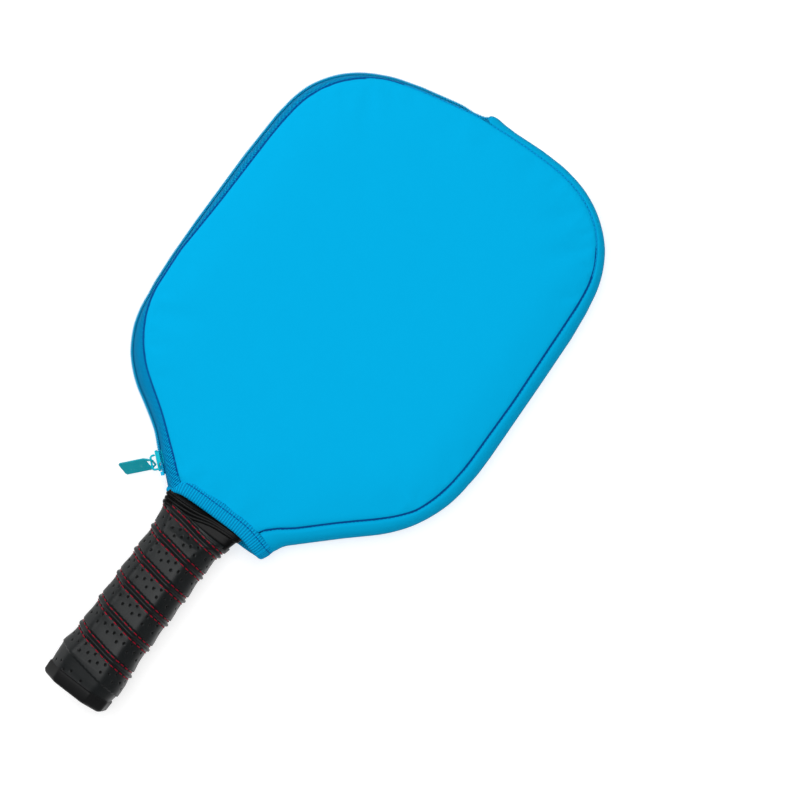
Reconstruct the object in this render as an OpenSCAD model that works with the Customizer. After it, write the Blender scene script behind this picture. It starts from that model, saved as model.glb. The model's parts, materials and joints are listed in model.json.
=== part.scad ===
// Zipped neoprene head cover with the paddle that it holds, lying on its back.
// Frame: X across the head, Y from the grip to the head's top, Z out of the back panel's face.

/* [Paddle] */
// Width of the paddle's head over its edge guard
paddle_w = 198; // [160:1:240]
// Height of the head's top above the head's centre
head_top = 129.7; // [110:1:160]
// Height of the head's side corners above the head's centre
head_corner_y = 104.6; // [85:1:130]
// Depth of the head's shoulders below the head's centre
shoulder_y = 70; // [60:1:80]
// Half width of the throat where the edge guard ends
throat_hw = 27.4; // [25:0.2:29]
// Thickness of the honeycomb core
core_t = 13; // [10:0.5:16]
// Thickness of each face sheet
face_t = 0.5; // [0.3:0.1:1]
// Thickness of the edge guard's lips over the faces
lip_t = 0.8; // [0.5:0.1:1.2]
// Width of the edge guard's lips
lip_w = 8; // [6:0.5:10]
// Thickness of the edge guard's web at the rim
guard_web = 2; // [1.5:0.5:3]

/* [Handle] */
// Length of the handle from the neck of the cover to the butt
handle_l = 121; // [100:1:145]
// Width of the two foam pallets
pallet_w = 34.8; // [30:0.2:38]
// Height of the two foam pallets together
pallet_h = 27; // [23:0.2:30]
// Thickness of the grip wrap
wrap_t = 2; // [1.5:0.1:2.5]
// Radius of the raised rib that is sewn along the wrap
rib_r = 1.3; // [1:0.1:1.6]
// Rise of the wrap for each turn
wrap_pitch = 16.6; // [14:0.1:21]
// Roll of the grip's flats from the paddle's faces
grip_roll = 8; // [0:1:10]
// Wall of the rubber collar over the paddle's faces
collar_t = 0.8; // [0.5:0.1:0.9]

/* [Cover] */
// Thickness of the neoprene
panel_t = 4; // [3:0.5:5]
// Gap between a panel and the edge guard
panel_gap = 1.2; // [1:0.1:2]
// Room between the paddle and the cover's edge along the zip
zip_room = 3.4; // [3.2:0.1:6]
// Room between the paddle and the cover's edge along the sewn side
sewn_room = 12.1; // [9:0.1:16]
// Inset of the seam along the zip
zip_seam = 5; // [4.5:0.1:6]
// Inset of the seam along the gusset
sewn_seam = 7; // [6:0.1:9]
// Wall of the sewn side gusset
gusset_t = 3; // [2:0.5:3.5]
// Width of the binding at the neck
binding_w = 6.5; // [5:0.5:8]
// Gap along the line where the front flap folds
fold_gap = 0.3; // [0.2:0.1:1]

/* [Zip] */
// Thickness of the zip tape
tape_t = 0.6; // [0.5:0.1:0.8]
// Height of each coil row
coil_h = 1.35; // [1.2:0.05:1.5]
// Thickness of each coil row
coil_t = 1.2; // [1:0.1:1.3]
// Gap between the two coil rows
coil_gap = 0.3; // [0.3:0.05:0.4]
// Length of the slider
slider_l = 12; // [10:0.5:14]
// Thickness of the slider's plates
plate_t = 1.2; // [1:0.1:1.3]
// Distance of the slider's middle from the corner of the flank
slider_at = 16.5; // [15:0.5:17]
// Wire radius of the slider's crown
crown_r = 0.6; // [0.5:0.05:0.65]
// Length of the pull tab's blade
blade_l = 20; // [15:0.5:26]
// Width of the pull tab
tab_w = 8.6; // [7:0.2:9]
// Thickness of the pull tab
tab_t = 1; // [0.8:0.1:1.1]

/* [Hidden] */
blue = [0, 0.62, 0.87];
dark_blue = [0, 0.48, 0.76];
teal = [0, 0.56, 0.66];
black = [0.08, 0.09, 0.09];

running_gap = 0.3;                     // between pieces that move past each other
guard_t = core_t + 2 * (face_t + lip_t);
case_t = guard_t + 2 * (panel_gap + panel_t);
mid = case_t / 2;
centring_room = 10.2;                  // the sewn side's room that the neck is centred against
paddle_x = (zip_room - centring_room) / 2;
paddle_hw = paddle_w / 2;
left_x = paddle_x - paddle_hw;
right_x = paddle_x + paddle_hw;
neck_y = -144;                         // where the back of the neck ends
neck_cut = 5;                          // the front of the neck is cut this much higher
front_neck_y = neck_y + neck_cut;
butt_y = neck_y - handle_l;

// How far each corner of the cover's outline lies from the paddle's corner beside it
neck_right_by = [11.5, 1];
neck_bend_by = [6.5, 14];
low_right_by = 2.3;
top_right_by = [-8.6, 5.4];
zip_end_by = [-1.6, 4.2];
top_left_by = 3.8;
low_left_by = [1.3, -18];
flank_by = [-23.2, 23];
neck_left_by = 2.3;

// Corners of the cover's outline, anticlockwise from the right of the neck
neck_right = [paddle_x + throat_hw, neck_y] + neck_right_by;
neck_bend = neck_right + neck_bend_by;
low_right = [right_x + sewn_room, low_right_by - shoulder_y];
top_right = [right_x + sewn_room, head_top] + top_right_by;
zip_end = [paddle_x, head_top] + zip_end_by;
top_left = [left_x - zip_room, head_corner_y + top_left_by];
low_left = [left_x - zip_room, -shoulder_y] + low_left_by;
flank = [paddle_x - throat_hw, neck_y] + flank_by;
neck_left = [paddle_x - throat_hw + neck_left_by, neck_y];

// Radius of each corner
neck_bend_r = 15;
low_right_r = 85;
top_right_r = 63;
zip_end_r = 119;
top_left_r = 62;
low_left_r = 68.6;
flank_r = 220;                         // the slider's stretch of the zip is one long arc

// ---- outline functions -------------------------------------------------------------------
// A rim point is [x, y, outward x, outward y, sewn 1 or zipped 0, rise]. A rise of 0 or more makes
// the point slide along the rim to that height above the neck line.
function unit(v) = v / norm(v);
function bend(a, p, b, r, n, kind, from = 0, to = 1) =
    let (da = unit(a - p), db = unit(b - p), half = acos(da * db) / 2,
         side = sign(cross(-da, db)), c = p + unit(da + db) * r / sin(half),
         s = p + da * r / tan(half) - c, start = atan2(s.y, s.x))
    [for (i = [0:n])
        let (t = start + side * (180 - 2 * half) * (from + (to - from) * i / n))
        [c.x + r * cos(t), c.y + r * sin(t), side * cos(t), side * sin(t), kind, -1]];
function rim_end(p, q, kind, rise = 0) =
    let (d = unit(q - p)) [p.x, p.y, d.y, -d.x, kind, rise];
function inset_at(q, d, y) =
    let (p = [q[0] - d * q[2], q[1] - d * q[3]], t = [-q[3], q[2]])
    q[5] < 0 ? p : p + t * (y + q[5] - p.y) / t.y;
function bend_centre(a, p, b, r) =
    let (da = unit(a - p), db = unit(b - p))
    p + unit(da + db) * r / sin(acos(da * db) / 2);
function tail(l) = [for (i = [1:len(l) - 1]) l[i]];

gusset_share = 0.5;                    // share of the top bend where the gusset ends
zip_start = 0.6;                       // share of the top bend where the zip starts
top_n = 2;
corner_n = 9;
flank_n = 8;
sewn_rim = concat(
    [rim_end(neck_right, neck_bend, 1)],
    bend(neck_right, neck_bend, low_right, neck_bend_r, 3, 1),
    bend(neck_bend, low_right, top_right, low_right_r, corner_n, 1),
    bend(low_right, top_right, zip_end, top_right_r, corner_n + 1, 1),
    bend(top_right, zip_end, top_left, zip_end_r, top_n, 1, 0, gusset_share));
zip_rim = concat(
    bend(top_right, zip_end, top_left, zip_end_r, top_n, 0, zip_start, 1),
    bend(zip_end, top_left, low_left, top_left_r, corner_n, 0),
    bend(top_left, low_left, flank, low_left_r, flank_n, 0));
zip_tangent = 2 * neck_left - flank;   // carries the flank's straight end on past the neck
flank_rim = concat(
    [zip_rim[len(zip_rim) - 1]],
    bend(low_left, flank, neck_left, flank_r, flank_n, 0),
    [rim_end(neck_left, zip_tangent, 0)]);
cover_rim = concat(sewn_rim, zip_rim, tail(flank_rim));
binding_rim = [
    rim_end(neck_right, neck_bend, 1), rim_end(neck_right, neck_bend, 1, binding_w),
    rim_end(neck_left, zip_tangent, 0, binding_w), rim_end(neck_left, zip_tangent, 0)];

// Places along the flank's arc, by distance towards the neck from the flank's corner
flank_centre = bend_centre(low_left, flank, neck_left, flank_r);
flank_dir = unit(flank_centre - flank);
function on_flank(s) =
    let (a = atan2(-flank_dir.y, -flank_dir.x) - s / flank_r * 180 / PI)
    [flank_centre.x + flank_r * cos(a), flank_centre.y + flank_r * sin(a), a];

// ---- solids from outlines ----------------------------------------------------------------
function ring_of(rim, zip_d, sewn_d, y) =
    [for (q = rim) inset_at(q, q[4] == 1 ? sewn_d : zip_d, y)];

// A panel: rings of the outline stacked as [zip inset, sewn inset, z], cut off at the neck line.
// The inner face is ring number inner, its first or its last. Each flat side, from column a to
// column b of the rings, is closed by tiles that are convex.
function flat_side(a, b, n, m, inner) =
    let (slant = inner == 0 ? [0, 1, m - 1] : [0, m - 2, m - 1],
         bulge = [for (j = [0:m - 1]) if (j != inner) j])
    [[for (j = slant) j * n + a], [for (j = bulge) j * n + a],
     [a, (m - 1) * n + a, (m - 1) * n + b, b],
     [for (i = [2:-1:0]) slant[i] * n + b], [for (i = [m - 2:-1:0]) bulge[i] * n + b]];
module slab(rim, rings, y, inner, flat_sides) {
    n = len(rim);
    m = len(rings);
    pts = [for (r = rings) for (p = ring_of(rim, r[0], r[1], y)) [p.x, p.y, r[2]]];
    polyhedron(pts, concat(
        [[for (i = [0:n - 1]) i]],
        [[for (i = [n - 1:-1:0]) (m - 1) * n + i]],
        [for (i = concat(flat_sides, [n - 1])) each flat_side(i, (i + 1) % n, n, m, inner)],
        [for (j = [0:m - 2]) for (i = [0:n - 2]) if (len(search(i, flat_sides)) == 0)
            each [[j * n + i, (j + 1) * n + i, j * n + i + 1],
                  [j * n + i + 1, (j + 1) * n + i, (j + 1) * n + i + 1]]]));
}

// A strip: one section of [inset, z] points carried along the rim. A hollow section's ends are
// closed by tiles, lists of the section's points that are each convex.
module strip(rim, section, y, tiles) {
    n = len(rim);
    m = len(section);
    pts = [for (q = rim) for (s = section) let (p = inset_at(q, s[0], y)) [p.x, p.y, s[1]]];
    caps = is_undef(tiles) ? [[for (j = [0:m - 1]) j]] : tiles;
    polyhedron(pts, concat(
        caps,
        [for (c = caps) [for (i = [len(c) - 1:-1:0]) (n - 1) * m + c[i]]],
        [for (i = [0:n - 2]) for (j = [0:m - 1])
            let (k = (j + 1) % m)
            each [[i * m + j, (i + 1) * m + j, i * m + k],
                  [i * m + k, (i + 1) * m + j, (i + 1) * m + k]]]));
}

// A section's mirror image, for the back
function back(section) = [for (i = [len(section) - 1:-1:0])
    [section[i][0], case_t - section[i][1]]];

// ---- cover -------------------------------------------------------------------------------
seam_drop = 3.2;                       // the panel's edge lies this far below its face
edge_sink = 0.9;                       // and its inner corner this far below the inner face
seam_top = case_t - seam_drop;
seam_low = case_t - panel_t - edge_sink;
inner_flat = [14, 16];                 // insets where the inner face turns flat
inner_turn = [9, 11];
turn_drop = 0.3;
round_in = [2.5, 5.5, 11];             // steps of the outer edge's round, inwards and down
round_drop = [1.4, 0.4, 0];
function panel_rings(gap) = concat(
    [[inner_flat[0], inner_flat[1], case_t - panel_t],
     [inner_turn[0], inner_turn[1], case_t - panel_t - turn_drop],
     [zip_seam, sewn_seam + gap, seam_low],
     [zip_seam, sewn_seam + gap, seam_top]],
    [for (i = [0:2])
        [zip_seam + round_in[i], sewn_seam + gap + round_in[i], case_t - round_drop[i]]]);
fold_top_by = [-1.5, -1.4];
fold_low_by = [4, 9];
fold_top = zip_end + fold_top_by;
fold_low = neck_right + fold_low_by;
fold_dir = unit(fold_top - fold_low);
fold_side = [fold_dir.y, -fold_dir.x];

module front_slab(rim, gap, flat_sides = [])
    slab(rim, panel_rings(gap), front_neck_y, 0, flat_sides);
module back_slab(rim, flat_sides = []) {
    rings = panel_rings(0);
    last = len(rings) - 1;
    slab(rim, [for (i = [last:-1:0]) [rings[i][0], rings[i][1], case_t - rings[i][2]]],
        neck_y, last, flat_sides);
}
module beside_fold(side) {
    far = 400;
    shift = fold_side * side * fold_gap / 2;
    a = fold_low - fold_dir * far + shift;
    b = fold_top + fold_dir * far + shift;
    linear_extrude(case_t + 2)
        polygon([a, b, b + fold_side * side * far, a + fold_side * side * far]);
}
module above(y) { translate([-400, y, -10]) cube([800, 400, 60]); }

module back_panel() color(blue)
    intersection() {
        back_slab(cover_rim);
        above(neck_y + binding_w);
    }
module front_flap() color(blue)
    intersection() {
        front_slab(cover_rim, running_gap);
        beside_fold(-1);
        above(front_neck_y + binding_w);
    }
module front_pocket() color(blue)
    intersection() {
        front_slab(cover_rim, 0);
        beside_fold(1);
        above(front_neck_y + binding_w);
    }
module neck_binding_front() color(dark_blue) front_slab(binding_rim, running_gap, [1]);
module neck_binding_back() color(dark_blue) back_slab(binding_rim, [1]);

// The gusset's section is half an oval, open towards the paddle
gusset_steps = 8;
function oval(inner, steps) = [for (i = [0:steps])
    let (t = 90 - 180 * i / steps, w = sewn_seam - inner, h = seam_top - mid - inner)
    [sewn_seam - w * cos(t), mid + h * sin(t)]];
module side_gusset() color(dark_blue) {
    outer = oval(0, gusset_steps);
    inner = oval(gusset_t, gusset_steps);
    last = 2 * gusset_steps + 1;
    strip(sewn_rim, concat(outer, [for (i = [gusset_steps:-1:0]) inner[i]]), neck_y,
        [for (i = [0:gusset_steps - 1]) [i, i + 1, last - i - 1, last - i]]);
}

// ---- zip ---------------------------------------------------------------------------------
coil_low = mid + coil_gap / 2;
tape_low = coil_low + 0.25;
parted = 1.15;                         // the rows part this far at the slider's post
tape_bend = mid + 4.2;                 // where the tape leans in towards its seam
tape_sink = 0.4;                       // its edge below the panel's
seam_fit = 0.03;                       // between a tape's edge and the panel it is sewn to
function tape_section(low) = [
    [coil_t, low], [coil_t, tape_bend], [zip_seam - seam_fit, seam_top - tape_sink],
    [zip_seam - seam_fit, seam_top - tape_sink - tape_t], [coil_t + tape_t, tape_bend - 0.1],
    [coil_t + tape_t, low]];
coil_round = 0.3;
function coil_section(low) = [
    [0, low + coil_round], [0, low + coil_h - coil_round], [coil_round, low + coil_h],
    [coil_t, low + coil_h], [coil_t, low], [coil_round, low]];

// The flank's rim before and past the point where the rows part
part_at = slider_at + 1;
part_run = 1.6;                        // and the stretch in which they do so
coil_end = slider_at + 6;
tape_end = slider_at + 9;
function flank_point(s) =
    let (p = on_flank(s)) [p.x, p.y, -cos(p[2]), -sin(p[2]), 0, -1];
closed_flank = concat([flank_rim[0]], [for (s = [-20:5:10]) flank_point(s)], [flank_point(part_at)]);
open_flank = [flank_point(part_at + part_run), flank_point(coil_end)];
flank_tail = concat(open_flank, [flank_point(tape_end)]);

// The two rows run together to the slider and part below it
module parting_strip(closed, parting, rim_a, rim_b, y, flip) {
    n = len(rim_a);
    k = len(rim_b);
    m = len(closed);
    function z_of(z) = flip ? case_t - z : z;
    pts = concat(
        [for (q = rim_a) for (s = closed) let (p = inset_at(q, s[0], y)) [p.x, p.y, z_of(s[1])]],
        [for (q = rim_b) for (s = parting) let (p = inset_at(q, s[0], y)) [p.x, p.y, z_of(s[1])]]);
    rows = n + k;
    faces = concat(
        [[for (j = [0:m - 1]) j]],
        [[for (j = [m - 1:-1:0]) (rows - 1) * m + j]],
        [for (i = [0:rows - 2]) for (j = [0:m - 1])
            let (h = (j + 1) % m)
            each [[i * m + j, (i + 1) * m + j, i * m + h],
                  [i * m + h, (i + 1) * m + j, (i + 1) * m + h]]]);
    polyhedron(pts, flip ? [for (f = faces) [for (i = [len(f) - 1:-1:0]) f[i]]] : faces);
}

module front_zip_tape() color(dark_blue)
    strip(zip_rim, tape_section(tape_low), front_neck_y);
module back_zip_tape() color(dark_blue)
    strip(zip_rim, back(tape_section(tape_low)), neck_y);
module front_zip_coil() color(blue) strip(zip_rim, coil_section(coil_low), neck_y);
module back_zip_coil() color(blue) strip(zip_rim, back(coil_section(coil_low)), neck_y);

module lower_tape(flip, y)
    parting_strip(tape_section(tape_low), tape_section(tape_low + parted),
        closed_flank, flank_tail, y, flip);
module lower_coil(flip)
    parting_strip(coil_section(coil_low), coil_section(coil_low + parted),
        closed_flank, open_flank, neck_y, flip);
module front_tape_lower() color(dark_blue) lower_tape(false, front_neck_y);
module back_tape_lower() color(dark_blue) lower_tape(true, neck_y);
module front_coil_lower() color(blue) lower_coil(false);
module back_coil_lower() color(blue) lower_coil(true);

// A frame on the flank's arc: X away from the neck, Y outwards from the rim, Z up from the middle
module at_flank(s) {
    p = on_flank(s);
    translate([p.x, p.y, mid]) rotate(p[2] + 90) children();
}
stop_l = 2.2;
stop_gap = 0.4;                        // between a row's end and its stop
stop_proud = 0.4;
end_stop_h = 4;
module top_stop(side)
    at_flank(coil_end + stop_gap + stop_l / 2)
        translate([-stop_l / 2, 0.1 - coil_t,
                   side * (coil_low - mid + parted) + (side < 0 ? -coil_h : 0)])
            cube([stop_l, coil_t + stop_proud, coil_h]);
module front_top_stop() color("silver") top_stop(1);
module back_top_stop() color("silver") top_stop(-1);

// The end stop sits between the gusset's end and the zip's first teeth
module zip_end_stop() color("silver") {
    top_arc = bend(top_right, zip_end, top_left, zip_end_r, 2, 0, gusset_share, zip_start);
    p = top_arc[1];
    translate([p[0], p[1], mid]) rotate(atan2(p[3], p[2]) - 90)
        translate([-stop_l / 2, -coil_t - tape_t, -end_stop_h / 2])
            cube([stop_l, coil_t + tape_t + stop_proud, end_stop_h]);
}

// ---- slider and pull ---------------------------------------------------------------------
slider_hz = 3.6;
inner_y = -coil_t - tape_t - running_gap;
outer_y = running_gap;
rail_room = 0.6;
rail_start = 0.8;                      // from the plate's tail
rail_z = coil_gap / 2 + coil_h + running_gap + rail_room;
rail_y = -coil_t + running_gap;
crown_rise = 3.2;
crown_y = outer_y + plate_t + crown_rise;
crown_x = 0.6;
crown_half = 2.6;                      // half of the crown's straight bar
bend_r = 1.4;
crown_gap = 0.5;                       // the open leg stops this far above the plate
post_x = 3;
post_l = 2.4;
post_w = 1.7;
sunk = 0.2;                            // how far joined bodies run into each other
tail_hz = 2.9;
tail_cut = 1;
nose_hz = 1.8;
nose_cut = 4;

module plate(y) {
    nose = slider_l / 2;
    translate([0, y, 0]) rotate([-90, 0, 0]) linear_extrude(plate_t)
        polygon([[-nose, -tail_hz], [-nose + tail_cut, -slider_hz], [nose - nose_cut, -slider_hz],
                 [nose, -nose_hz], [nose, nose_hz], [nose - nose_cut, slider_hz],
                 [-nose + tail_cut, slider_hz], [-nose, tail_hz]]);
}
module crown_leg(x, from_y)
    translate([x, from_y, 0]) rotate([-90, 0, 0])
        cylinder(r = crown_r, h = crown_y - bend_r - from_y, $fn = 24);
module crown_bend(x, turn)
    translate([x, crown_y - bend_r, 0]) rotate(turn) rotate_extrude(angle = 90, $fn = 32)
        translate([bend_r, 0]) circle(crown_r, $fn = 24);
module zip_slider() color([0, 0.78, 0.86])
    at_flank(slider_at) mirror([1, 0, 0]) {
        plate(outer_y);
        plate(inner_y - plate_t);
        translate([post_x, inner_y - sunk, -post_w / 2])
            cube([post_l, outer_y - inner_y + 2 * sunk, post_w]);
        for (side = [0, 1]) mirror([0, 0, side])
            translate([-slider_l / 2 + rail_start, rail_y, rail_z])
                cube([slider_l / 2 + sunk, outer_y - rail_y + sunk, slider_hz - rail_z]);
        translate([crown_x - crown_half, crown_y, 0]) rotate([0, 90, 0])
            cylinder(r = crown_r, h = 2 * crown_half, $fn = 24);
        crown_bend(crown_x + crown_half, 0);
        crown_bend(crown_x - crown_half, 90);
        crown_leg(crown_x + crown_half + bend_r, outer_y + plate_t - sunk);
        crown_leg(crown_x - crown_half - bend_r, outer_y + plate_t + crown_gap);
    }

tab_droop = 37;
tab_roll = -38;
eye_end = 2.3;
eye_bar = 0.9;
eye_hw = 1.9;
eye_flare = 0.8;                       // the eye's frame widens by this much towards the blade
eye_waist = -0.6;
eye_wall = 0.4;
tab_chamfer = 0.8;
blade_start = 2.7;
module pull_tab() color(teal)
    at_flank(slider_at) translate([-crown_x, crown_y, 0])
        rotate([-tab_droop, 0, 0]) rotate([0, tab_roll, 0])
            translate([0, 0, -tab_t / 2]) linear_extrude(tab_t)
                difference() {
                    polygon([
                        [-eye_hw, -eye_end], [eye_hw, -eye_end], [eye_hw + eye_flare, eye_waist],
                        [tab_w / 2, blade_start],
                        [tab_w / 2, blade_start + blade_l - tab_chamfer],
                        [tab_w / 2 - tab_chamfer, blade_start + blade_l],
                        [tab_chamfer - tab_w / 2, blade_start + blade_l],
                        [-tab_w / 2, blade_start + blade_l - tab_chamfer],
                        [-tab_w / 2, blade_start], [-eye_hw - eye_flare, eye_waist]]);
                    polygon([
                        [eye_wall - eye_hw, eye_bar - eye_end], [eye_hw - eye_wall, eye_bar - eye_end],
                        [eye_hw, eye_waist], [eye_hw + eye_wall, blade_start - eye_wall],
                        [-eye_hw - eye_wall, blade_start - eye_wall], [-eye_hw, eye_waist]]);
                }

// ---- paddle ------------------------------------------------------------------------------
stem_hw = 12;                          // half width of the core inside the handle
stem_low = butt_y + 4;
guard_rise = 11;
throat_y = neck_y + guard_rise;        // where the edge guard ends
throat = [throat_hw, throat_y];
shoulder = [paddle_hw, -shoulder_y];
head_corner = [paddle_hw, head_corner_y];
crest = [0, head_top];
shoulder_r = 70;
corner_r = 58;
head_n = 8;
crest_n = 6;
function mirrored(p) = [-p.x, p.y];
function turn_at(a, p, b) = 180 - acos(unit(a - p) * unit(b - p));
top_room = norm(crest - head_corner) - corner_r * tan(turn_at(shoulder, head_corner, crest) / 2);
crest_r = 0.97 * top_room / tan(turn_at(head_corner, crest, mirrored(head_corner)) / 2);
paddle_rim = concat(
    [rim_end(throat, shoulder, 0, -1)],
    bend(throat, shoulder, head_corner, shoulder_r, head_n, 0),
    bend(shoulder, head_corner, crest, corner_r, head_n, 0),
    bend(head_corner, crest, mirrored(head_corner), crest_r, crest_n, 0),
    bend(crest, mirrored(head_corner), mirrored(shoulder), corner_r, head_n, 0),
    bend(mirrored(head_corner), mirrored(shoulder), mirrored(throat), shoulder_r, head_n, 0),
    [let (q = rim_end(throat, shoulder, 0)) [-q[0], q[1], -q[2], q[3], 0, -1]]);
collar_in = 6;
neck_half = throat_hw - collar_in;     // half width of the core inside the collar
flare_high = neck_y - 2;               // the core widens from the handle's stem to the neck
flare_low = neck_y - 13;
stem = [[neck_half, flare_high], [stem_hw, flare_low], [stem_hw, stem_low]];
function blade_points(d) = [for (q = paddle_rim) inset_at(q, d, 0)];

module in_paddle() translate([paddle_x, 0, mid]) children();
module paddle_core() color("ivory")
    in_paddle() translate([0, 0, -core_t / 2]) linear_extrude(core_t)
        polygon(concat([for (i = [2:-1:0]) stem[i]], blade_points(guard_web),
            [for (i = [0:2]) mirrored(stem[i])]));
module face_sheet(z) color([0.35, 0.4, 0.45])
    in_paddle() translate([0, 0, z]) linear_extrude(face_t)
        polygon(concat([stem[0]], blade_points(guard_web), [mirrored(stem[0])]));
module face_sheet_front() face_sheet(core_t / 2);
module face_sheet_back() face_sheet(-core_t / 2 - face_t);

guard_round = 2.8;
guard_in = core_t / 2 + face_t;
guard_out = guard_in + lip_t;
module edge_guard() color(black) {
    outer = [for (i = [-3:3]) [guard_round * (1 - cos(i * 30)), guard_out * sin(i * 30)]];
    section = concat(
        [[lip_w, -guard_out]], outer, [[lip_w, guard_out]],
        [[lip_w, guard_in], [guard_web, guard_in], [guard_web, -guard_in], [lip_w, -guard_in]]);
    in_paddle() mirror([0, 0, 1]) strip(paddle_rim, section, 0,
        [[0, 1, 11, 12], [1, 2, 11], [2, 3, 4, 5, 6, 10, 11], [6, 7, 10], [7, 8, 9, 10]]);
}

// ---- handle ------------------------------------------------------------------------------
// A handle section is [y, half width, half height, roll, share of the corners cut off]
flat_y = neck_y - 20;                  // the throat starts to flare here
octagon_cut = 0.58;                    // share of the half height that a flat's corner takes off
square_cut = 0.3;
hw = pallet_w / 2;
hh = pallet_h / 2;
function grown(sections, t) = [for (s = sections) [s[0], s[1] + t, s[2] + t, s[3]]];
function eight(s) =
    let (w = s[1], h = s[2], c = min(w, h) * (is_undef(s[4]) ? octagon_cut : s[4]))
    [for (p = [[w - c, -h], [w, c - h], [w, h - c], [w - c, h],
               [c - w, h], [-w, h - c], [-w, c - h], [c - w, -h]])
        [p.x * cos(s[3]) - p.y * sin(s[3]), s[0], p.x * sin(s[3]) + p.y * cos(s[3])]];
module loft(sections) {
    m = 8;
    n = len(sections);
    polyhedron([for (s = sections) each eight(s)], concat(
        [[for (j = [m - 1:-1:0]) j]],
        [[for (j = [0:m - 1]) (n - 1) * m + j]],
        [for (i = [0:n - 2]) for (j = [0:m - 1])
            let (k = (j + 1) % m)
            each [[i * m + j, i * m + k, (i + 1) * m + j],
                  [i * m + k, (i + 1) * m + k, (i + 1) * m + j]]]));
}
pallet_low = butt_y + 3;
pallet_end = neck_y - 6;
heel_y = butt_y + 8;                   // the handle swells from here to its fullest and back
swell_y = butt_y + 20;
waist_y = butt_y + 34;
bell_y = neck_y - 11;                  // half way along the flare
heel_by = [0.8, 0.6];                  // what each place adds to the half width and half height
swell_by = [1.9, 1.8];
bell_by = [1.6, -2.5];
mouth_by = [3.6, -4.6];
under_wrap = [
    [pallet_low, hw, hh, grip_roll],
    [heel_y, hw + heel_by.x, hh + heel_by.y, grip_roll],
    [swell_y, hw + swell_by.x, hh + swell_by.y, grip_roll],
    [waist_y, hw, hh, grip_roll],
    [flat_y, hw, hh, grip_roll],
    [bell_y, hw + bell_by.x, hh + bell_by.y, grip_roll / 2],
    [pallet_end, hw + mouth_by.x, hh + mouth_by.y, 0]];
wrap_sections = grown([for (i = [1:len(under_wrap) - 1]) under_wrap[i]], wrap_t);
module pallets() {
    in_paddle() difference() {
        loft(under_wrap);
        translate([-stem_hw, butt_y + 2, -core_t / 2]) cube([2 * stem_hw, handle_l, core_t]);
        linear_extrude(core_t, center = true)
            polygon([[-stem_hw, flare_low], [-neck_half, flare_high], [neck_half, flare_high],
                     [stem_hw, flare_low]]);
    }
}
module half(side)
    translate([-paddle_hw, butt_y, side > 0 ? mid : mid - case_t]) cube([paddle_w, handle_l, case_t]);
module handle_pallet_front() color("tan") intersection() { pallets(); half(1); }
module handle_pallet_back() color("tan") intersection() { pallets(); half(-1); }
module grip_wrap() color(black)
    in_paddle() difference() {
        loft(wrap_sections);
        loft(concat([[butt_y, hw, hh, grip_roll]], under_wrap,
            [[neck_y, hw + mouth_by.x, hh + mouth_by.y, 0]]));
    }

// The rib winds round the wrap and is pressed a little into it
rib_low = swell_y - 1;
rib_high = neck_y - 7.5;
rib_phase = -151;                      // where the rib's low end lies, turned from the right
rib_turns = (rib_high - rib_low) / wrap_pitch;
rib_steps = 18;                        // for each turn
rib_sides = 6;
rib_sink = 0.6;                        // share of the rib's radius that lies in the wrap
function wrap_radius(a, w, h) =
    let (c = min(w, h) * octagon_cut, x = abs(cos(a)), z = abs(sin(a)))
    min(w / max(x, 0.001), h / max(z, 0.001), (w + h - c) / (x + z));
function section_at(y, l, i = 0) =
    i > len(l) - 3 || y < l[i + 1][0]
        ? l[i] + (l[i + 1] - l[i]) * (y - l[i][0]) / (l[i + 1][0] - l[i][0])
        : section_at(y, l, i + 1);
module grip_rib() color([0.12, 0.12, 0.13]) {
    n = ceil(rib_turns * rib_steps);
    centres = [for (i = [0:n])
        let (y = rib_low + (rib_high - rib_low) * i / n,
             a = rib_phase + 360 * (y - rib_low) / wrap_pitch,
             s = section_at(y, wrap_sections), r = wrap_radius(a, s[1], s[2]) + rib_r * (1 - rib_sink))
        [r * cos(a + s[3]), y, r * sin(a + s[3]), a + s[3]]];
    m = rib_sides;
    pts = [for (c = centres) for (j = [0:m - 1])
        let (t = 360 * j / m, out = rib_r * cos(t))
        [c[0] + out * cos(c[3]), c[1] + rib_r * sin(t), c[2] + out * sin(c[3])]];
    in_paddle() polyhedron(pts, concat(
        [[for (j = [m - 1:-1:0]) j]],
        [[for (j = [0:m - 1]) n * m + j]],
        [for (i = [0:n - 1]) for (j = [0:m - 1])
            let (k = (j + 1) % m)
            each [[i * m + j, i * m + k, (i + 1) * m + j],
                  [i * m + k, (i + 1) * m + k, (i + 1) * m + j]]]));
}

collar_low = pallet_end + 0.1;
collar_top = front_neck_y - 1;
collar_hh = core_t / 2 + face_t + collar_t;
collar_by = [1.5, 3, 4.6];             // half widths over the core's at the collar's three sections
module throat_collar() color([0.1, 0.1, 0.1])
    in_paddle() difference() {
        loft([[collar_low, neck_half + collar_by[0], collar_hh + collar_t / 2, 0, square_cut],
              [flare_high, neck_half + collar_by[1], collar_hh, 0, square_cut],
              [collar_top, neck_half + collar_by[2], collar_hh, 0, square_cut]]);
        linear_extrude(2 * (core_t / 2 + face_t), center = true)
            polygon(concat([[stem_hw, flare_low], [-stem_hw, flare_low], [-neck_half, flare_high]],
                [mirrored(blade_points(guard_web)[0])], [blade_points(guard_web)[0]],
                [[neck_half, flare_high]]));
    }

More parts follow.
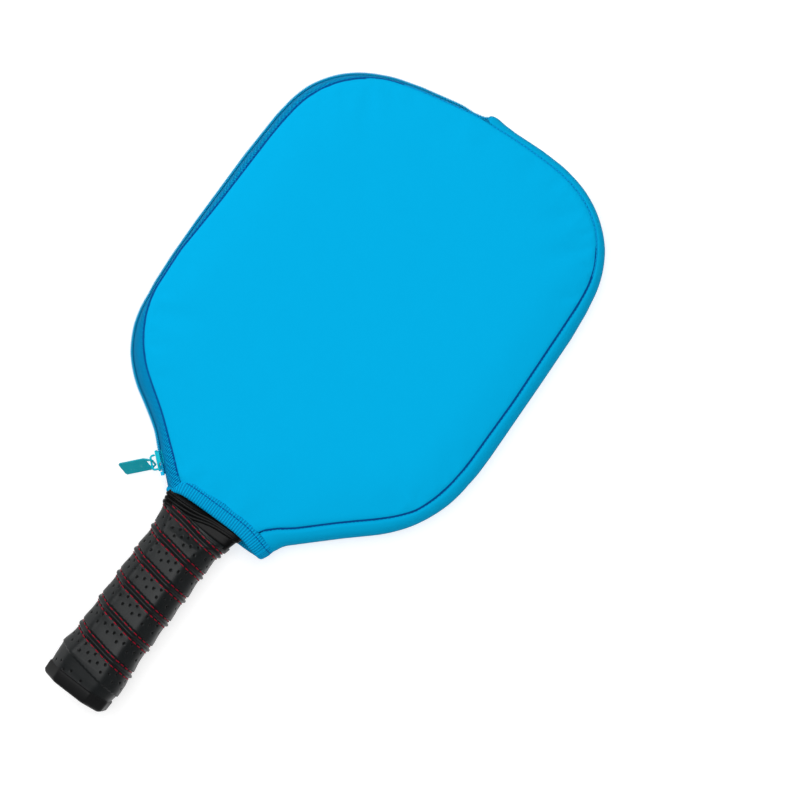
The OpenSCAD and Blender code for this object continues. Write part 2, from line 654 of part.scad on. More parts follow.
cap_edge = [1.6, 2.8];                 // wall at the butt's face and over the handle
cap_round = 1.6;
cap_l = 7.9;
cap_lip = 0.2;
module butt_cap() color(black)
    in_paddle() difference() {
        loft([[butt_y, hw + cap_edge[0], hh + cap_edge[0], grip_roll],
              [butt_y + cap_round, hw + cap_edge[1], hh + cap_edge[1], grip_roll],
              [butt_y + cap_l, hw + cap_edge[1], hh + cap_edge[1] - cap_lip, grip_roll]]);
        loft([[pallet_low, hw, hh, grip_roll],
              [heel_y, hw + heel_by.x, hh + heel_by.y, grip_roll],
              [swell_y, hw + heel_by.x, hh + heel_by.y, grip_roll]]);
        translate([-stem_hw, stem_low, -core_t / 2]) cube([2 * stem_hw, swell_y - stem_low, core_t]);
    }

// ------------------------------------------------------------------------------------------
back_panel();
front_flap();
front_pocket();
side_gusset();
neck_binding_front();
neck_binding_back();
front_zip_tape();
front_zip_coil();
front_tape_lower();
front_coil_lower();
back_zip_tape();
back_zip_coil();
back_tape_lower();
back_coil_lower();
zip_end_stop();
front_top_stop();
back_top_stop();
zip_slider();
pull_tab();
paddle_core();
face_sheet_front();
face_sheet_back();
edge_guard();
handle_pallet_front();
handle_pallet_back();
grip_wrap();
grip_rib();
throat_collar();
butt_cap();
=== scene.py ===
import json
import math

import bmesh
import bpy
import numpy as np
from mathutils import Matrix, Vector
from mathutils.geometry import delaunay_2d_cdt


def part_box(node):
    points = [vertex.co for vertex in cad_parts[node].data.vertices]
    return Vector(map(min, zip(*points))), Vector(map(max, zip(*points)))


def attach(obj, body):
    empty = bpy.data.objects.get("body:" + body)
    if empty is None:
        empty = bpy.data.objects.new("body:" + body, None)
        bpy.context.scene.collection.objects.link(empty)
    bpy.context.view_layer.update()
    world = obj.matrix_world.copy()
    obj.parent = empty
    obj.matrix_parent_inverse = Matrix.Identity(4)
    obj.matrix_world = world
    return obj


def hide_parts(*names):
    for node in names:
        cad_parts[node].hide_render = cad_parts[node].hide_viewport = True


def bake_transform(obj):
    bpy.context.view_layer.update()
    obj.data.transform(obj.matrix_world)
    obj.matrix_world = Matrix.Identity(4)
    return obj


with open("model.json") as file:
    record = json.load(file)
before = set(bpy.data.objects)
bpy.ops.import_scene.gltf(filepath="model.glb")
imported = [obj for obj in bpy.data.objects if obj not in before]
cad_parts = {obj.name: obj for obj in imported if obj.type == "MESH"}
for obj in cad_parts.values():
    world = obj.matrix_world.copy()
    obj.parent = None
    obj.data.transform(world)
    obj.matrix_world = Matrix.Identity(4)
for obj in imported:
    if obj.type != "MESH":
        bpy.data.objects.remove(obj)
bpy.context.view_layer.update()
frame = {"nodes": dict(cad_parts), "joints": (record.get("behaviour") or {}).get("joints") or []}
scene = bpy.context.scene
scene.view_settings.view_transform = "Standard"
mm = 0.001  # every shape below is worked out in millimetres
turn = 2 * math.pi


# places that come from the frame
def boxMm(node):
    low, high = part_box(node)
    return np.array(low) / mm, np.array(high) / mm


joints = {j["name"]: j for j in frame["joints"]}
guardLow, guardHigh = boxMm("edge_guard")
neckY = boxMm("neck_binding_back")[0][1]
buttY = boxMm("butt_cap")[0][1]
coverTop = boxMm("front_flap")[1][2]
midZ = coverTop / 2
paddleX = (guardLow[0] + guardHigh[0]) / 2


def unit(v):
    return v / np.linalg.norm(v)


def smooth(t):
    t = np.clip(t, 0, 1)
    return t * t * (3 - 2 * t)


def knots(at, table):
    places, values = zip(*table)
    return np.interp(at, places, values)


# a class that writes shader maths as Python expressions
class Term:
    def __init__(self, shade, socket):
        self.shade, self.socket = shade, socket

    def math(self, operation, a, b=0.0):
        return self.shade.node("ShaderNodeMath", {"operation": operation}, {0: a, 1: b})

    def __add__(self, other): return self.math("ADD", self, other)
    def __radd__(self, other): return self.math("ADD", other, self)
    def __sub__(self, other): return self.math("SUBTRACT", self, other)
    def __rsub__(self, other): return self.math("SUBTRACT", other, self)
    def __mul__(self, other): return self.math("MULTIPLY", self, other)
    def __rmul__(self, other): return self.math("MULTIPLY", other, self)
    def __abs__(self): return self.math("ABSOLUTE", self)
    def sine(self): return self.math("SINE", self)
    def clamped(self): return self.math("MINIMUM", self.math("MAXIMUM", self, 0.0), 1.0)


class Shade:
    def __init__(self, name, **fixed):
        self.material = bpy.data.materials.new(name)
        self.material.use_nodes = True
        self.tree = self.material.node_tree
        self.tree.nodes.clear()
        self.output = self.tree.nodes.new("ShaderNodeOutputMaterial")
        self.surface = self.tree.nodes.new("ShaderNodeBsdfPrincipled")
        self.tree.links.new(self.surface.outputs[0], self.output.inputs[0])
        for socket, value in fixed.items():
            self.put(socket.replace("_", " "), value)

    def node(self, kind, settings=None, sockets=None, out=0):
        made = self.tree.nodes.new(kind)
        for key, value in (settings or {}).items():
            if key == "stops":
                for at, colour in value:
                    made.color_ramp.elements.new(at).color = colour
                made.color_ramp.elements.remove(made.color_ramp.elements[0])
                made.color_ramp.elements.remove(made.color_ramp.elements[-1])
            else:
                setattr(made, key, value)
        for key, value in (sockets or {}).items():
            self.feed(made.inputs[key], value)
        return Term(self, made.outputs[out])

    def feed(self, socket, value):
        if isinstance(value, Term):
            self.tree.links.new(value.socket, socket)
        else:
            socket.default_value = value

    def put(self, socket, value):
        self.feed(self.surface.inputs[socket], value)

    def place(self):
        return self.node("ShaderNodeTexCoord", out=3)

    def axes(self, vector):
        split = self.tree.nodes.new("ShaderNodeSeparateXYZ")
        self.feed(split.inputs[0], vector)
        return [Term(self, split.outputs[k]) for k in range(3)]

    def uv(self):
        return self.axes(self.node("ShaderNodeTexCoord", out=2))

    def noise(self, scale, detail=3.0, rough=0.5):
        return self.node("ShaderNodeTexNoise", None,
                         {"Vector": self.place(), "Scale": scale, "Detail": detail, "Roughness": rough})

    def mix(self, factor, a, b):
        made = self.tree.nodes.new("ShaderNodeMix")
        made.data_type = "RGBA"
        for key, value in ((0, factor), (6, a), (7, b)):
            self.feed(made.inputs[key], value)
        return Term(self, made.outputs[2])

    def bump(self, height, strength, distance):
        self.put("Normal", self.node("ShaderNodeBump", None, {
            "Strength": strength, "Distance": distance, "Height": height}))


def rgb(r, g, b):
    return (r, g, b, 1.0)


# finishes
palette = {
    "panelBlue": rgb(0.0, 0.40, 0.735), "seamBlue": rgb(0.0, 0.115, 0.42),
    # the gusset's dark teal rim colour is painted shade with a painted green reflection
    "gussetBlue": rgb(0.0, 0.35, 0.64), "rimShadeAndReflection": rgb(0.0, 0.17, 0.23),
    "liningBlue": rgb(0.0, 0.06, 0.22), "bindingBlue": rgb(0.0, 0.15, 0.36),
    "coilBlue": rgb(0.0, 0.46, 0.74),
    "sliderCyan": rgb(0.0, 0.46, 0.58), "pullTeal": rgb(0.0, 0.34, 0.42),
    "gripBlack": rgb(0.006, 0.0075, 0.008), "stitchRed": rgb(0.50, 0.003, 0.03)}


def knitted(name, base, dark, stitch=0.00075):
    shade = Shade(name, Roughness=0.85, Specular_IOR_Level=0.03)
    x, y, z = shade.axes(shade.place())
    rows = (x * (turn / stitch)).sine() * ((y + z) * (turn / (stitch * 1.5))).sine()
    cloud = shade.noise(60.0, 2.0)
    fine = shade.noise(1500.0, 2.0, 0.6)
    mark = (cloud * 0.12 + fine * 0.16 + rows * 0.03 - 0.06).clamped()
    shade.put("Base Color", shade.mix(mark, base, dark))
    shade.bump(rows * 0.4 + fine * 0.8, 0.35, 0.00012)
    return shade


def neopreneFinish():
    return knitted("neopreneJersey", palette["panelBlue"], rgb(0.0, 0.33, 0.64)).material


def gussetFinish():
    shade = knitted("gussetCloth", palette["gussetBlue"], rgb(0.0, 0.26, 0.56))
    facing = shade.axes(shade.node("ShaderNodeNewGeometry", out=1))[2]
    # where the band turns to face sideways its colour goes dark teal: painted shade with a painted
    # green reflection
    edge = (1.0 - abs(facing) * 2.6).clamped()
    shade.put("Base Color", shade.mix(edge * 0.75, palette["gussetBlue"], palette["rimShadeAndReflection"]))
    return shade.material


def liningFinish():
    shade = Shade("nylonLining", Roughness=0.6, Specular_IOR_Level=0.15)
    x, y, z = shade.axes(shade.place())
    weave = (x * (turn / 0.0008)).sine() * (y * (turn / 0.0008)).sine()
    shade.put("Base Color", shade.mix((weave * 0.25 + shade.noise(90.0) * 0.4).clamped(),
                                      palette["liningBlue"], rgb(0.0, 0.10, 0.33)))
    shade.bump(weave, 0.3, 0.0001)
    return shade.material


def bindingFinish():
    shade = Shade("ribbedBinding", Roughness=0.8, Specular_IOR_Level=0.04)
    u, v, _ = shade.uv()
    rib = (v * (turn / (bindingSizes["ribPitch"] * mm))).sine()
    # the colour darkens in the grooves between the ribs: painted shade, with a little random tone
    shade.put("Base Color", shade.mix((rib * 0.34 + 0.56 + shade.noise(400.0) * 0.1).clamped(),
                                      palette["bindingBlue"], rgb(0.0, 0.39, 0.72)))
    shade.bump((u * (turn / 0.0007)).sine() * 0.3 + rib, 0.25, 0.00015)
    return shade.material


def tapeFinish():
    shade = Shade("twillTape", Roughness=0.8, Specular_IOR_Level=0.04)
    u, v, _ = shade.uv()
    twill = ((u + v) * (turn / 0.0013)).sine()
    cross = ((u - v) * (turn / 0.0031)).sine()
    mark = (twill * 0.48 + cross * 0.16 + 0.45 + shade.noise(500.0) * 0.1).clamped()
    shade.put("Base Color", shade.mix(mark, rgb(0.0, 0.09, 0.29), rgb(0.0, 0.40, 0.74)))
    shade.bump(twill, 0.8, 0.0002)
    return shade.material


def threadFinish(name, colour, dark):
    shade = Shade(name, Roughness=0.7, Specular_IOR_Level=0.08)
    x, y, z = shade.axes(shade.place())
    twist = ((x + y * 1.3 + z) * (turn / 0.0005)).sine()
    shade.put("Base Color", shade.mix((twist * 0.4 + 0.5).clamped(), dark, colour))
    shade.bump(twist, 0.5, 0.0001)
    return shade.material


def nylonFinish():
    shade = Shade("coilNylon", Roughness=0.45, Specular_IOR_Level=0.15)
    shade.put("Base Color", shade.mix((shade.noise(700.0) * 0.6).clamped(), palette["coilBlue"],
                                      rgb(0.0, 0.24, 0.50)))
    shade.bump(shade.noise(2500.0), 0.1, 0.00005)
    return shade.material


def enamelFinish(name, colour, worn, rough):
    shade = Shade(name, Coat_Roughness=0.2, Specular_IOR_Level=0.03)
    patches = shade.noise(260.0, 4.0, 0.6)
    rub = ((patches - 0.62) * 6.0).clamped()
    shade.put("Base Color", shade.mix(rub * 0.5, colour, worn))
    shade.put("Roughness", rough + patches * 0.12)
    shade.put("Coat Weight", 0.025 - rub * 0.02)
    shade.bump(shade.noise(900.0), 0.06, 0.00008)
    return shade.material


def gripFinish():
    shade = Shade("gripLeather", Specular_IOR_Level=0.2)
    hole = shade.node("ShaderNodeAttribute", {"attribute_name": "hole"}, out=2)
    pebbles = shade.node("ShaderNodeTexVoronoi", {"feature": "F1"},
                         {"Vector": shade.place(), "Scale": 1700.0}, out=0)
    patches = shade.noise(55.0, 4.0, 0.6)
    colour = shade.mix((patches * 0.5).clamped(), palette["gripBlack"], rgb(0.011, 0.013, 0.014))
    # in the punched holes the colour goes near black: painted shade inside the holes
    shade.put("Base Color", shade.mix((hole * 1.6).clamped(), colour, rgb(0.002, 0.002, 0.002)))
    shade.put("Roughness", (0.34 + patches * 0.14 + hole * 0.5).clamped())
    shade.bump(pebbles * 0.5 + shade.noise(2600.0) * 0.4, 0.16, 0.0001)
    return shade.material


def rubberFinish(name, rough, tone):
    shade = Shade(name, Specular_IOR_Level=0.09)
    dust = shade.noise(120.0, 5.0, 0.65)
    shade.put("Base Color", shade.mix((dust * 0.7).clamped(), rgb(tone, tone, tone * 1.05),
                                      rgb(tone * 2.2, tone * 2.3, tone * 2.4)))
    shade.put("Roughness", rough + dust * 0.16)
    shade.bump(shade.noise(1400.0), 0.08, 0.0001)
    return shade.material


def fibreFinish():
    shade = Shade("fibreFace", Coat_Roughness=0.3, Specular_IOR_Level=0.45)
    x, y, _ = shade.axes(shade.place())
    across = ((x + y) * (turn / 0.004)).sine()
    along = ((x - y) * (turn / 0.004)).sine()
    weave = (across * along * 0.5 + 0.5).clamped()
    shade.put("Base Color", shade.mix(weave, rgb(0.012, 0.013, 0.015), rgb(0.055, 0.058, 0.064)))
    shade.put("Roughness", 0.36 + weave * 0.14 + shade.noise(80.0) * 0.1)
    shade.bump(across * 0.5 + shade.noise(1800.0), 0.12, 0.0001)
    return shade.material


def plainFinish(name, colour, dark, rough, grain):
    shade = Shade(name)
    spots = shade.noise(grain, 4.0, 0.6)
    shade.put("Base Color", shade.mix(spots, colour, dark))
    shade.put("Roughness", rough + spots * 0.12)
    shade.bump(spots, 0.2, 0.0002)
    return shade.material


# meshes
def pieceFrom(name, points, faces, finishes, uvs=None, slots=None, soft=True):
    mesh = bpy.data.meshes.new(name)
    mesh.from_pydata([tuple(p) for p in np.asarray(points, float) * mm], [], faces)
    if uvs is not None:
        layer = mesh.uv_layers.new(name="UVMap")
        at = np.zeros(len(mesh.loops), int)
        mesh.loops.foreach_get("vertex_index", at)
        layer.data.foreach_set("uv", (np.asarray(uvs, float)[at] * mm).ravel())
    for finish in finishes:
        mesh.materials.append(finish)
    if slots is not None:
        mesh.polygons.foreach_set("material_index", np.asarray(slots, int))
    mesh.polygons.foreach_set("use_smooth", np.full(len(mesh.polygons), soft))
    made = bpy.data.objects.new(name, mesh)
    scene.collection.objects.link(made)
    turnOutwards(made)
    return made


def turnOutwards(piece):
    work = bmesh.new()
    work.from_mesh(piece.data)
    bmesh.ops.recalc_face_normals(work, faces=work.faces)
    work.to_mesh(piece.data)
    work.free()


def sweep(name, rings, finish, closed=False, along=None, soft=True):
    # rings are n loops of m points each; open ends are closed by one face each
    rings = np.asarray(rings, float)
    n, m = rings.shape[:2]
    faces = [(i * m + j, i * m + (j + 1) % m, ((i + 1) % n) * m + (j + 1) % m, ((i + 1) % n) * m + j)
             for i in range(n if closed else n - 1) for j in range(m)]
    if not closed:
        faces += [tuple(range(m - 1, -1, -1)), tuple((n - 1) * m + j for j in range(m))]
    loop = np.r_[0, np.cumsum(np.linalg.norm(np.diff(rings[n // 2], axis=0), axis=1))]
    if along is None:
        middles = rings.mean(1)
        along = np.r_[0, np.cumsum(np.linalg.norm(np.diff(middles, axis=0), axis=1))]
    uvs = np.stack([np.tile(loop, n), np.repeat(along, m)], 1)
    return pieceFrom(name, rings.reshape(-1, 3), faces, [finish], uvs, soft=soft)


def roundEdges(piece, bevel, segments):
    made = piece.modifiers.new("Bevel", "BEVEL")
    made.width, made.segments, made.limit_method = bevel * mm, segments, "ANGLE"
    bakeModifiers(piece)
    return piece


def bakeModifiers(piece):
    graph = bpy.context.evaluated_depsgraph_get()
    baked = bpy.data.meshes.new_from_object(piece.evaluated_get(graph))
    piece.modifiers.clear()
    piece.data = baked


def joinPieces(name, pieces):
    work, finishes = bmesh.new(), []
    for piece in pieces:
        start = len(work.faces)
        work.from_mesh(piece.data)
        work.faces.ensure_lookup_table()
        for face in work.faces[start:]:
            finish = piece.data.materials[face.material_index]
            if finish not in finishes:
                finishes.append(finish)
            face.material_index = finishes.index(finish)
        bpy.data.objects.remove(piece)
    mesh = bpy.data.meshes.new(name)
    work.to_mesh(mesh)
    work.free()
    for finish in finishes:
        mesh.materials.append(finish)
    made = bpy.data.objects.new(name, mesh)
    scene.collection.objects.link(made)
    return made


# Geometry Nodes: one small rounded shape repeated along a line
def rowTree():
    tree = bpy.data.node_groups.new("RepeatAlongLine", "GeometryNodeTree")
    face = tree.interface
    face.new_socket("Line", in_out="INPUT", socket_type="NodeSocketGeometry")
    face.new_socket("Pitch", in_out="INPUT", socket_type="NodeSocketFloat")
    face.new_socket("Size", in_out="INPUT", socket_type="NodeSocketVector")
    face.new_socket("Tilt", in_out="INPUT", socket_type="NodeSocketFloat")
    face.new_socket("Finish", in_out="INPUT", socket_type="NodeSocketMaterial")
    face.new_socket("Row", in_out="OUTPUT", socket_type="NodeSocketGeometry")
    nodes, link = tree.nodes, tree.links.new
    start, end = nodes.new("NodeGroupInput"), nodes.new("NodeGroupOutput")
    curve = nodes.new("GeometryNodeMeshToCurve")
    even = nodes.new("GeometryNodeResampleCurve")
    even.mode = "LENGTH"
    tangent = nodes.new("GeometryNodeInputTangent")
    outward = nodes.new("GeometryNodeInputNamedAttribute")
    outward.data_type = "FLOAT_VECTOR"
    outward.inputs["Name"].default_value = "outward"
    alongLine = nodes.new("FunctionNodeAlignRotationToVector")
    alongLine.axis = "X"
    facing = nodes.new("FunctionNodeAlignRotationToVector")
    facing.axis, facing.pivot_axis = "Z", "X"
    tip = nodes.new("FunctionNodeRotateRotation")
    tip.rotation_space = "LOCAL"
    lean = nodes.new("ShaderNodeCombineXYZ")
    euler = nodes.new("FunctionNodeEulerToRotation")
    shape = nodes.new("GeometryNodeMeshUVSphere")
    shape.inputs["Segments"].default_value = 8
    shape.inputs["Rings"].default_value = 6
    shape.inputs["Radius"].default_value = 0.5
    sized = nodes.new("GeometryNodeTransform")
    copies = nodes.new("GeometryNodeInstanceOnPoints")
    real = nodes.new("GeometryNodeRealizeInstances")
    smoothed = nodes.new("GeometryNodeSetShadeSmooth")
    painted = nodes.new("GeometryNodeSetMaterial")
    link(start.outputs["Line"], curve.inputs[0])
    link(curve.outputs[0], even.inputs["Curve"])
    link(start.outputs["Pitch"], even.inputs["Length"])
    link(tangent.outputs[0], alongLine.inputs["Vector"])
    link(alongLine.outputs[0], facing.inputs["Rotation"])
    link(outward.outputs[0], facing.inputs["Vector"])
    link(start.outputs["Tilt"], lean.inputs["Y"])
    link(lean.outputs[0], euler.inputs[0])
    link(facing.outputs[0], tip.inputs["Rotation"])
    link(euler.outputs[0], tip.inputs["Rotate By"])
    link(shape.outputs["Mesh"], sized.inputs["Geometry"])
    link(start.outputs["Size"], sized.inputs["Scale"])
    link(even.outputs[0], copies.inputs["Points"])
    link(sized.outputs[0], copies.inputs["Instance"])
    link(tip.outputs[0], copies.inputs["Rotation"])
    link(copies.outputs[0], real.inputs[0])
    link(real.outputs[0], smoothed.inputs[0])
    link(smoothed.outputs[0], painted.inputs["Geometry"])
    link(start.outputs["Finish"], painted.inputs["Material"])
    link(painted.outputs[0], end.inputs[0])
    return tree


def repeatAlong(name, lines, outwards, pitch, size, finish, tilt=0.0):
    # size is [along the line, across it, out of the surface]
    points, edges, facing = [], [], []
    for line, outward in zip(lines, outwards):
        first = len(points)
        points += [tuple(np.asarray(p) * mm) for p in line]
        facing += [tuple(v) for v in outward]
        edges += [(first + i, first + i + 1) for i in range(len(line) - 1)]
    mesh = bpy.data.meshes.new(name)
    mesh.from_pydata(points, edges, [])
    store = mesh.attributes.new("outward", "FLOAT_VECTOR", "POINT")
    store.data.foreach_set("vector", np.asarray(facing, np.float32).ravel())
    made = bpy.data.objects.new(name, mesh)
    scene.collection.objects.link(made)
    modifier = made.modifiers.new("Row", "NODES")
    modifier.node_group = repeatTree
    given = {"Pitch": pitch * mm, "Size": [s * mm for s in size], "Tilt": tilt, "Finish": finish}
    for item in repeatTree.interface.items_tree:
        if item.in_out == "INPUT" and item.name in given:
            modifier[item.identifier] = given[item.name]
    bakeModifiers(made)
    made.data.materials.clear()
    made.data.materials.append(finish)
    return made


repeatTree = rowTree()

# the cover's outline
rimSizes = {"zipStart": 0.6, "gussetEnd": 0.5, "step": 1.6}
neckRight = (paddleX + 38.9, neckY + 1)
rimCorners = [  # x, y and the round of each corner, anticlockwise from the right of the neck
    (*neckRight, 0), (neckRight[0] + 6.5, neckY + 15, 15),
    (guardHigh[0] + 12.1, neckY + 76.3, 85), (guardHigh[0] + 3.5, neckY + 279.1, 63),
    (paddleX - 1.6, neckY + 277.9, 119), (guardLow[0] - 3.4, neckY + 252.4, 62),
    (guardLow[0] - 2.1, neckY + 56, 68.6), (paddleX - 50.6, neckY + 23, 220),
    (paddleX - 25.1, neckY, 0)]
rimWander = [  # distance along the outline, and how far the cloth's edge lies inside it
    (0, 0.4), (10, -0.9), (48, -0.3), (88, -0.75), (112, -0.45), (128, 0.2), (148, -0.6), (200, -1),
    (228, -0.9), (250, 0.5), (282, -0.7), (328, 0.2), (350, -0.4), (368, 0.4), (375, 0),
    (380, -1), (385, -0.9), (387, 0.3), (394, 0.9), (400, 0.1), (426, -0.5), (450, 0.5), (474, 0),
    (492, 0.1), (511, 1.2), (528, 0.5), (546, -0.3), (592, -0.5), (616, 0), (640, 1.5), (660, -0.2),
    (676, -0.8), (696, -0.2),
    (722, 1), (730, 0.8), (740, 0), (750, -1.1), (760, -1.3)]
seamInset = [  # distance along the outline, and how far inside it the seam of the front panel lies
    (0, 12.2), (10, 12.4), (14, 10.6), (18, 9.2), (24, 8.7), (32, 8.8), (46, 9.0), (56, 8.9),
    (74, 8.4), (94, 6.7), (128, 8.1), (146, 7.5), (180, 6.4), (250, 6.8), (266, 5.4), (296, 3.8),
    (330, 4.6), (356, 4.1), (378, 4.9), (392, 3.9), (424, 2.9), (450, 3.9), (476, 5.3), (512, 7.2),
    (532, 6.1), (576, 5.0), (610, 3.2), (640, 4.8), (672, 7.5), (694, 8.9), (712, 8.8), (728, 8.4),
    (760, 9.5)]


def roundedPath(corners, step):
    points, marks = [], []
    for k, (x, y, r) in enumerate(corners):
        p = np.array([x, y])
        if r == 0:
            points.append(p)
            continue
        a, b = np.array(corners[k - 1][:2]), np.array(corners[k + 1][:2])
        da, db = unit(a - p), unit(b - p)
        half = math.acos(da @ db) / 2
        side = np.sign(da[1] * db[0] - da[0] * db[1])
        centre = p + unit(da + db) * r / math.sin(half)
        first = p + da * r / math.tan(half) - centre
        begin, sweepAngle = math.atan2(first[1], first[0]), side * (math.pi - 2 * half)
        count = max(4, round(abs(sweepAngle) * r / step))
        marks.append((k, len(points), count))
        for i in range(count + 1):
            t = begin + sweepAngle * i / count
            points.append(centre + r * np.array([math.cos(t), math.sin(t)]))
    return np.array(points), marks


rimPoints, rimMarks = roundedPath(rimCorners, 1.0)
rimLengths = np.r_[0, np.cumsum(np.linalg.norm(np.diff(rimPoints, axis=0), axis=1))]
topFirst, topCount = next((i, n) for k, i, n in rimMarks if k == 4)
gussetEnd = rimLengths[topFirst + round(topCount * rimSizes["gussetEnd"])]
zipStart = rimLengths[topFirst + round(topCount * rimSizes["zipStart"])]
rimEnd = rimLengths[-1]


def rimAt(s):
    s = np.asarray(s, float)

    def onRim(at):
        return np.stack([np.interp(at, rimLengths, rimPoints[:, k]) for k in (0, 1)], -1)
    ends = [onRim(np.clip(s + e, 0, rimEnd)) for e in (-2.5, 2.5)]
    place = onRim(s)
    along = ends[1] - ends[0]
    along /= np.linalg.norm(along, axis=-1, keepdims=True)
    return place, np.stack([along[..., 1], -along[..., 0]], -1)


def insetAt(s, depth):
    place, out = rimAt(s)
    return place - out * np.broadcast_to(depth, np.shape(s))[..., None]


def wander(s):
    return knots(s, rimWander)


# front and back panels
panelSizes = {"seamDrop": 3.7, "roll": 1.5, "swell": 20.0,
              "edgeStep": 2.2, "cap": 1.6, "frames": 20, "pressure": 3.0,
              "tuck": 1.3, "tuckFrom": 7.5, "tuckOver": 3.0, "band": 0.7, "bandTop": 108.0,
              "edgeRise": 0.55, "slopeRise": 0.45, "inner": 5.0, "innerRise": 0.8}
neckTop = [(-60, -138.8), (-24, -138.6), (-19, -137.2), (0, -136.6), (17, -136.8), (27, -138.8),
           (60, -139.6)]


def distanceTo(points, line):
    a, b = line[:-1], line[1:]
    d = b - a
    rel = points[:, None, :] - a[None]
    t = np.clip((rel * d).sum(-1) / (d * d).sum(-1), 0, 1)
    return np.linalg.norm(rel - t[..., None] * d, axis=-1).min(1)


def panelLayout(insets, neckLine):
    s = np.arange(0, rimEnd, panelSizes["edgeStep"])
    seam = insetAt(s, knots(s, insets))
    keep = seam[:, 1] > knots(seam[:, 0], neckLine) + 0.4
    seam = seam[keep]
    right, left = seam[0], seam[-1]
    xs = np.arange(left[0], right[0], 2.0)[1:-1]
    neck = np.stack([xs, knots(xs, neckLine)], 1)
    outline = np.vstack([seam, neck])
    n = len(outline)
    inside = [outline]
    for depth in (panelSizes["band"], 1.6, 2.8, 4.4, 6.6, 9.6, 13.5, 18.5, 24):
        ahead = np.roll(outline, -1, 0) - np.roll(outline, 1, 0)
        normal = np.stack([ahead[:, 1], -ahead[:, 0]], 1) / np.linalg.norm(ahead, axis=1, keepdims=True)
        ring = (outline - normal * depth)[:: max(1, round(depth / 6))]
        loop = np.vstack([outline, outline[:1]])
        inside.append(ring[distanceTo(ring, loop) > depth * 0.93])
    grid = np.array([(x + 2.6 * (j % 2), y) for j, y in enumerate(np.arange(-130, 135, 4.6))
                     for x in np.arange(-104, 104, 5.2)])
    loop = np.vstack([outline, outline[:1]])
    far = grid[(distanceTo(grid, loop) > 27) & insidePolygon(grid, outline)]
    points = np.vstack(inside + [far])
    found = delaunay_2d_cdt([Vector(p) for p in points], [], [list(range(n))], 1, 1e-4)
    flat = np.array([tuple(v) for v in found[0]])
    return flat, [tuple(f) for f in found[2]], seam


def insidePolygon(points, ring):
    x, y = points[:, 0], points[:, 1]
    a, b = ring, np.roll(ring, -1, 0)
    crossing = (a[None, :, 1] > y[:, None]) != (b[None, :, 1] > y[:, None])
    rise = b[:, 1] - a[:, 1] + 1e-12
    cut = a[None, :, 0] + (y[:, None] - a[None, :, 1]) * (b[:, 0] - a[:, 0]) / rise
    return (crossing & (x[:, None] < cut)).sum(1) % 2 == 1


def panelHeight(distance):
    edge = panelSizes["edgeRise"] * (1 - np.exp(-distance / panelSizes["roll"]))
    slope = panelSizes["slopeRise"] * (1 - (1 - np.clip(distance / panelSizes["swell"], 0, 1)) ** 2)
    return coverTop - panelSizes["seamDrop"] * (1 - edge - slope)


def buildPanel(name, insets, neckLine, back, finishes):
    flat, triangles, seam = panelLayout(insets, neckLine)
    distance = distanceTo(flat, seam)
    fromNeck = flat[:, 1] - knots(flat[:, 0], neckLine)
    top = panelHeight(distance)
    top -= panelSizes["tuck"] * smooth((panelSizes["tuckFrom"] - fromNeck) / panelSizes["tuckOver"])
    inner = coverTop - panelSizes["inner"] + panelSizes["innerRise"] * smooth(distance / 9)
    edges = {}
    for tri in triangles:
        for a, b in zip(tri, tri[1:] + tri[:1]):
            edges[(a, b)] = True
    border = [e for e in edges if (e[1], e[0]) not in edges]
    count = len(flat)
    upper = np.column_stack([flat, top])
    lower = np.column_stack([flat, inner])
    faces = list(triangles) + [tuple(i + count for i in reversed(t)) for t in triangles]
    faces += [(b, a, a + count, b + count) for a, b in border]
    middles = flat[np.array(triangles)].mean(1)
    inBand = (distance[np.array(triangles)].mean(1) < panelSizes["band"] * 0.72)
    inBand &= middles[:, 1] < panelSizes["bandTop"]
    slots = list(np.where(inBand, 2, 0)) + [1] * len(triangles) + [2] * len(border)
    points = np.vstack([upper, lower])
    if back:
        points[:, 2] = coverTop - points[:, 2]
    made = pieceFrom(name, points, faces, finishes, np.vstack([flat, flat]), slots)
    inflate(made, count, distance)
    return made


def inflate(piece, count, distance):
    # the outer face swells like a stretched pad between its seams, and is held a little back
    pinned = piece.vertex_groups.new(name="held")
    hold = np.r_[np.where(distance < 0.5, 1.0, 0.0), np.ones(count)]
    for i, weight in enumerate(hold):
        if weight > 0:
            pinned.add([i], float(weight), "REPLACE")
    rest = np.zeros(len(piece.data.vertices) * 3)
    piece.data.vertices.foreach_get("co", rest)
    cloth = piece.modifiers.new("Cloth", "CLOTH")
    cloth.settings.vertex_group_mass = "held"
    cloth.settings.use_pressure = True
    cloth.settings.uniform_pressure_force = panelSizes["pressure"]
    cloth.settings.effector_weights.gravity = 0
    cloth.settings.tension_stiffness = cloth.settings.compression_stiffness = 40
    cloth.settings.bending_stiffness = 8
    cloth.settings.quality = 6
    for step in range(1, panelSizes["frames"] + 1):
        scene.frame_set(step)
    graph = bpy.context.evaluated_depsgraph_get()
    moved = np.zeros(len(rest))
    piece.evaluated_get(graph).data.vertices.foreach_get("co", moved)
    scene.frame_set(1)
    piece.modifiers.clear()
    piece.vertex_groups.clear()
    shift = (moved - rest).reshape(-1, 3)
    size = np.linalg.norm(shift, axis=1)
    cap = panelSizes["cap"] * mm
    shift *= (cap * np.tanh(size / cap) / np.maximum(size, 1e-9))[:, None]
    shift[count:] = 0
    swollen = rest.reshape(-1, 3) + shift
    swollen[:, 2] = np.maximum(swollen[:, 2], 0)  # the back stays flat on what it lies on
    piece.data.vertices.foreach_set("co", swollen.ravel())
    piece.data.update()
    print("  swelled", piece.name, "by up to", round(float(size.max() / mm), 2), "mm")


# the gusset, sewn between the panels
gussetSizes = {"steps": 14, "wall": 1.8, "full": 0.85, "seamZ": 22.4, "overlap": 0.25, "pastEnd": 3.5,
               "roundFrom": 0.2, "roundRun": 3.4, "roundDepth": 3.0, "holdBefore": 1.5,
               "endHeight": 0.6}


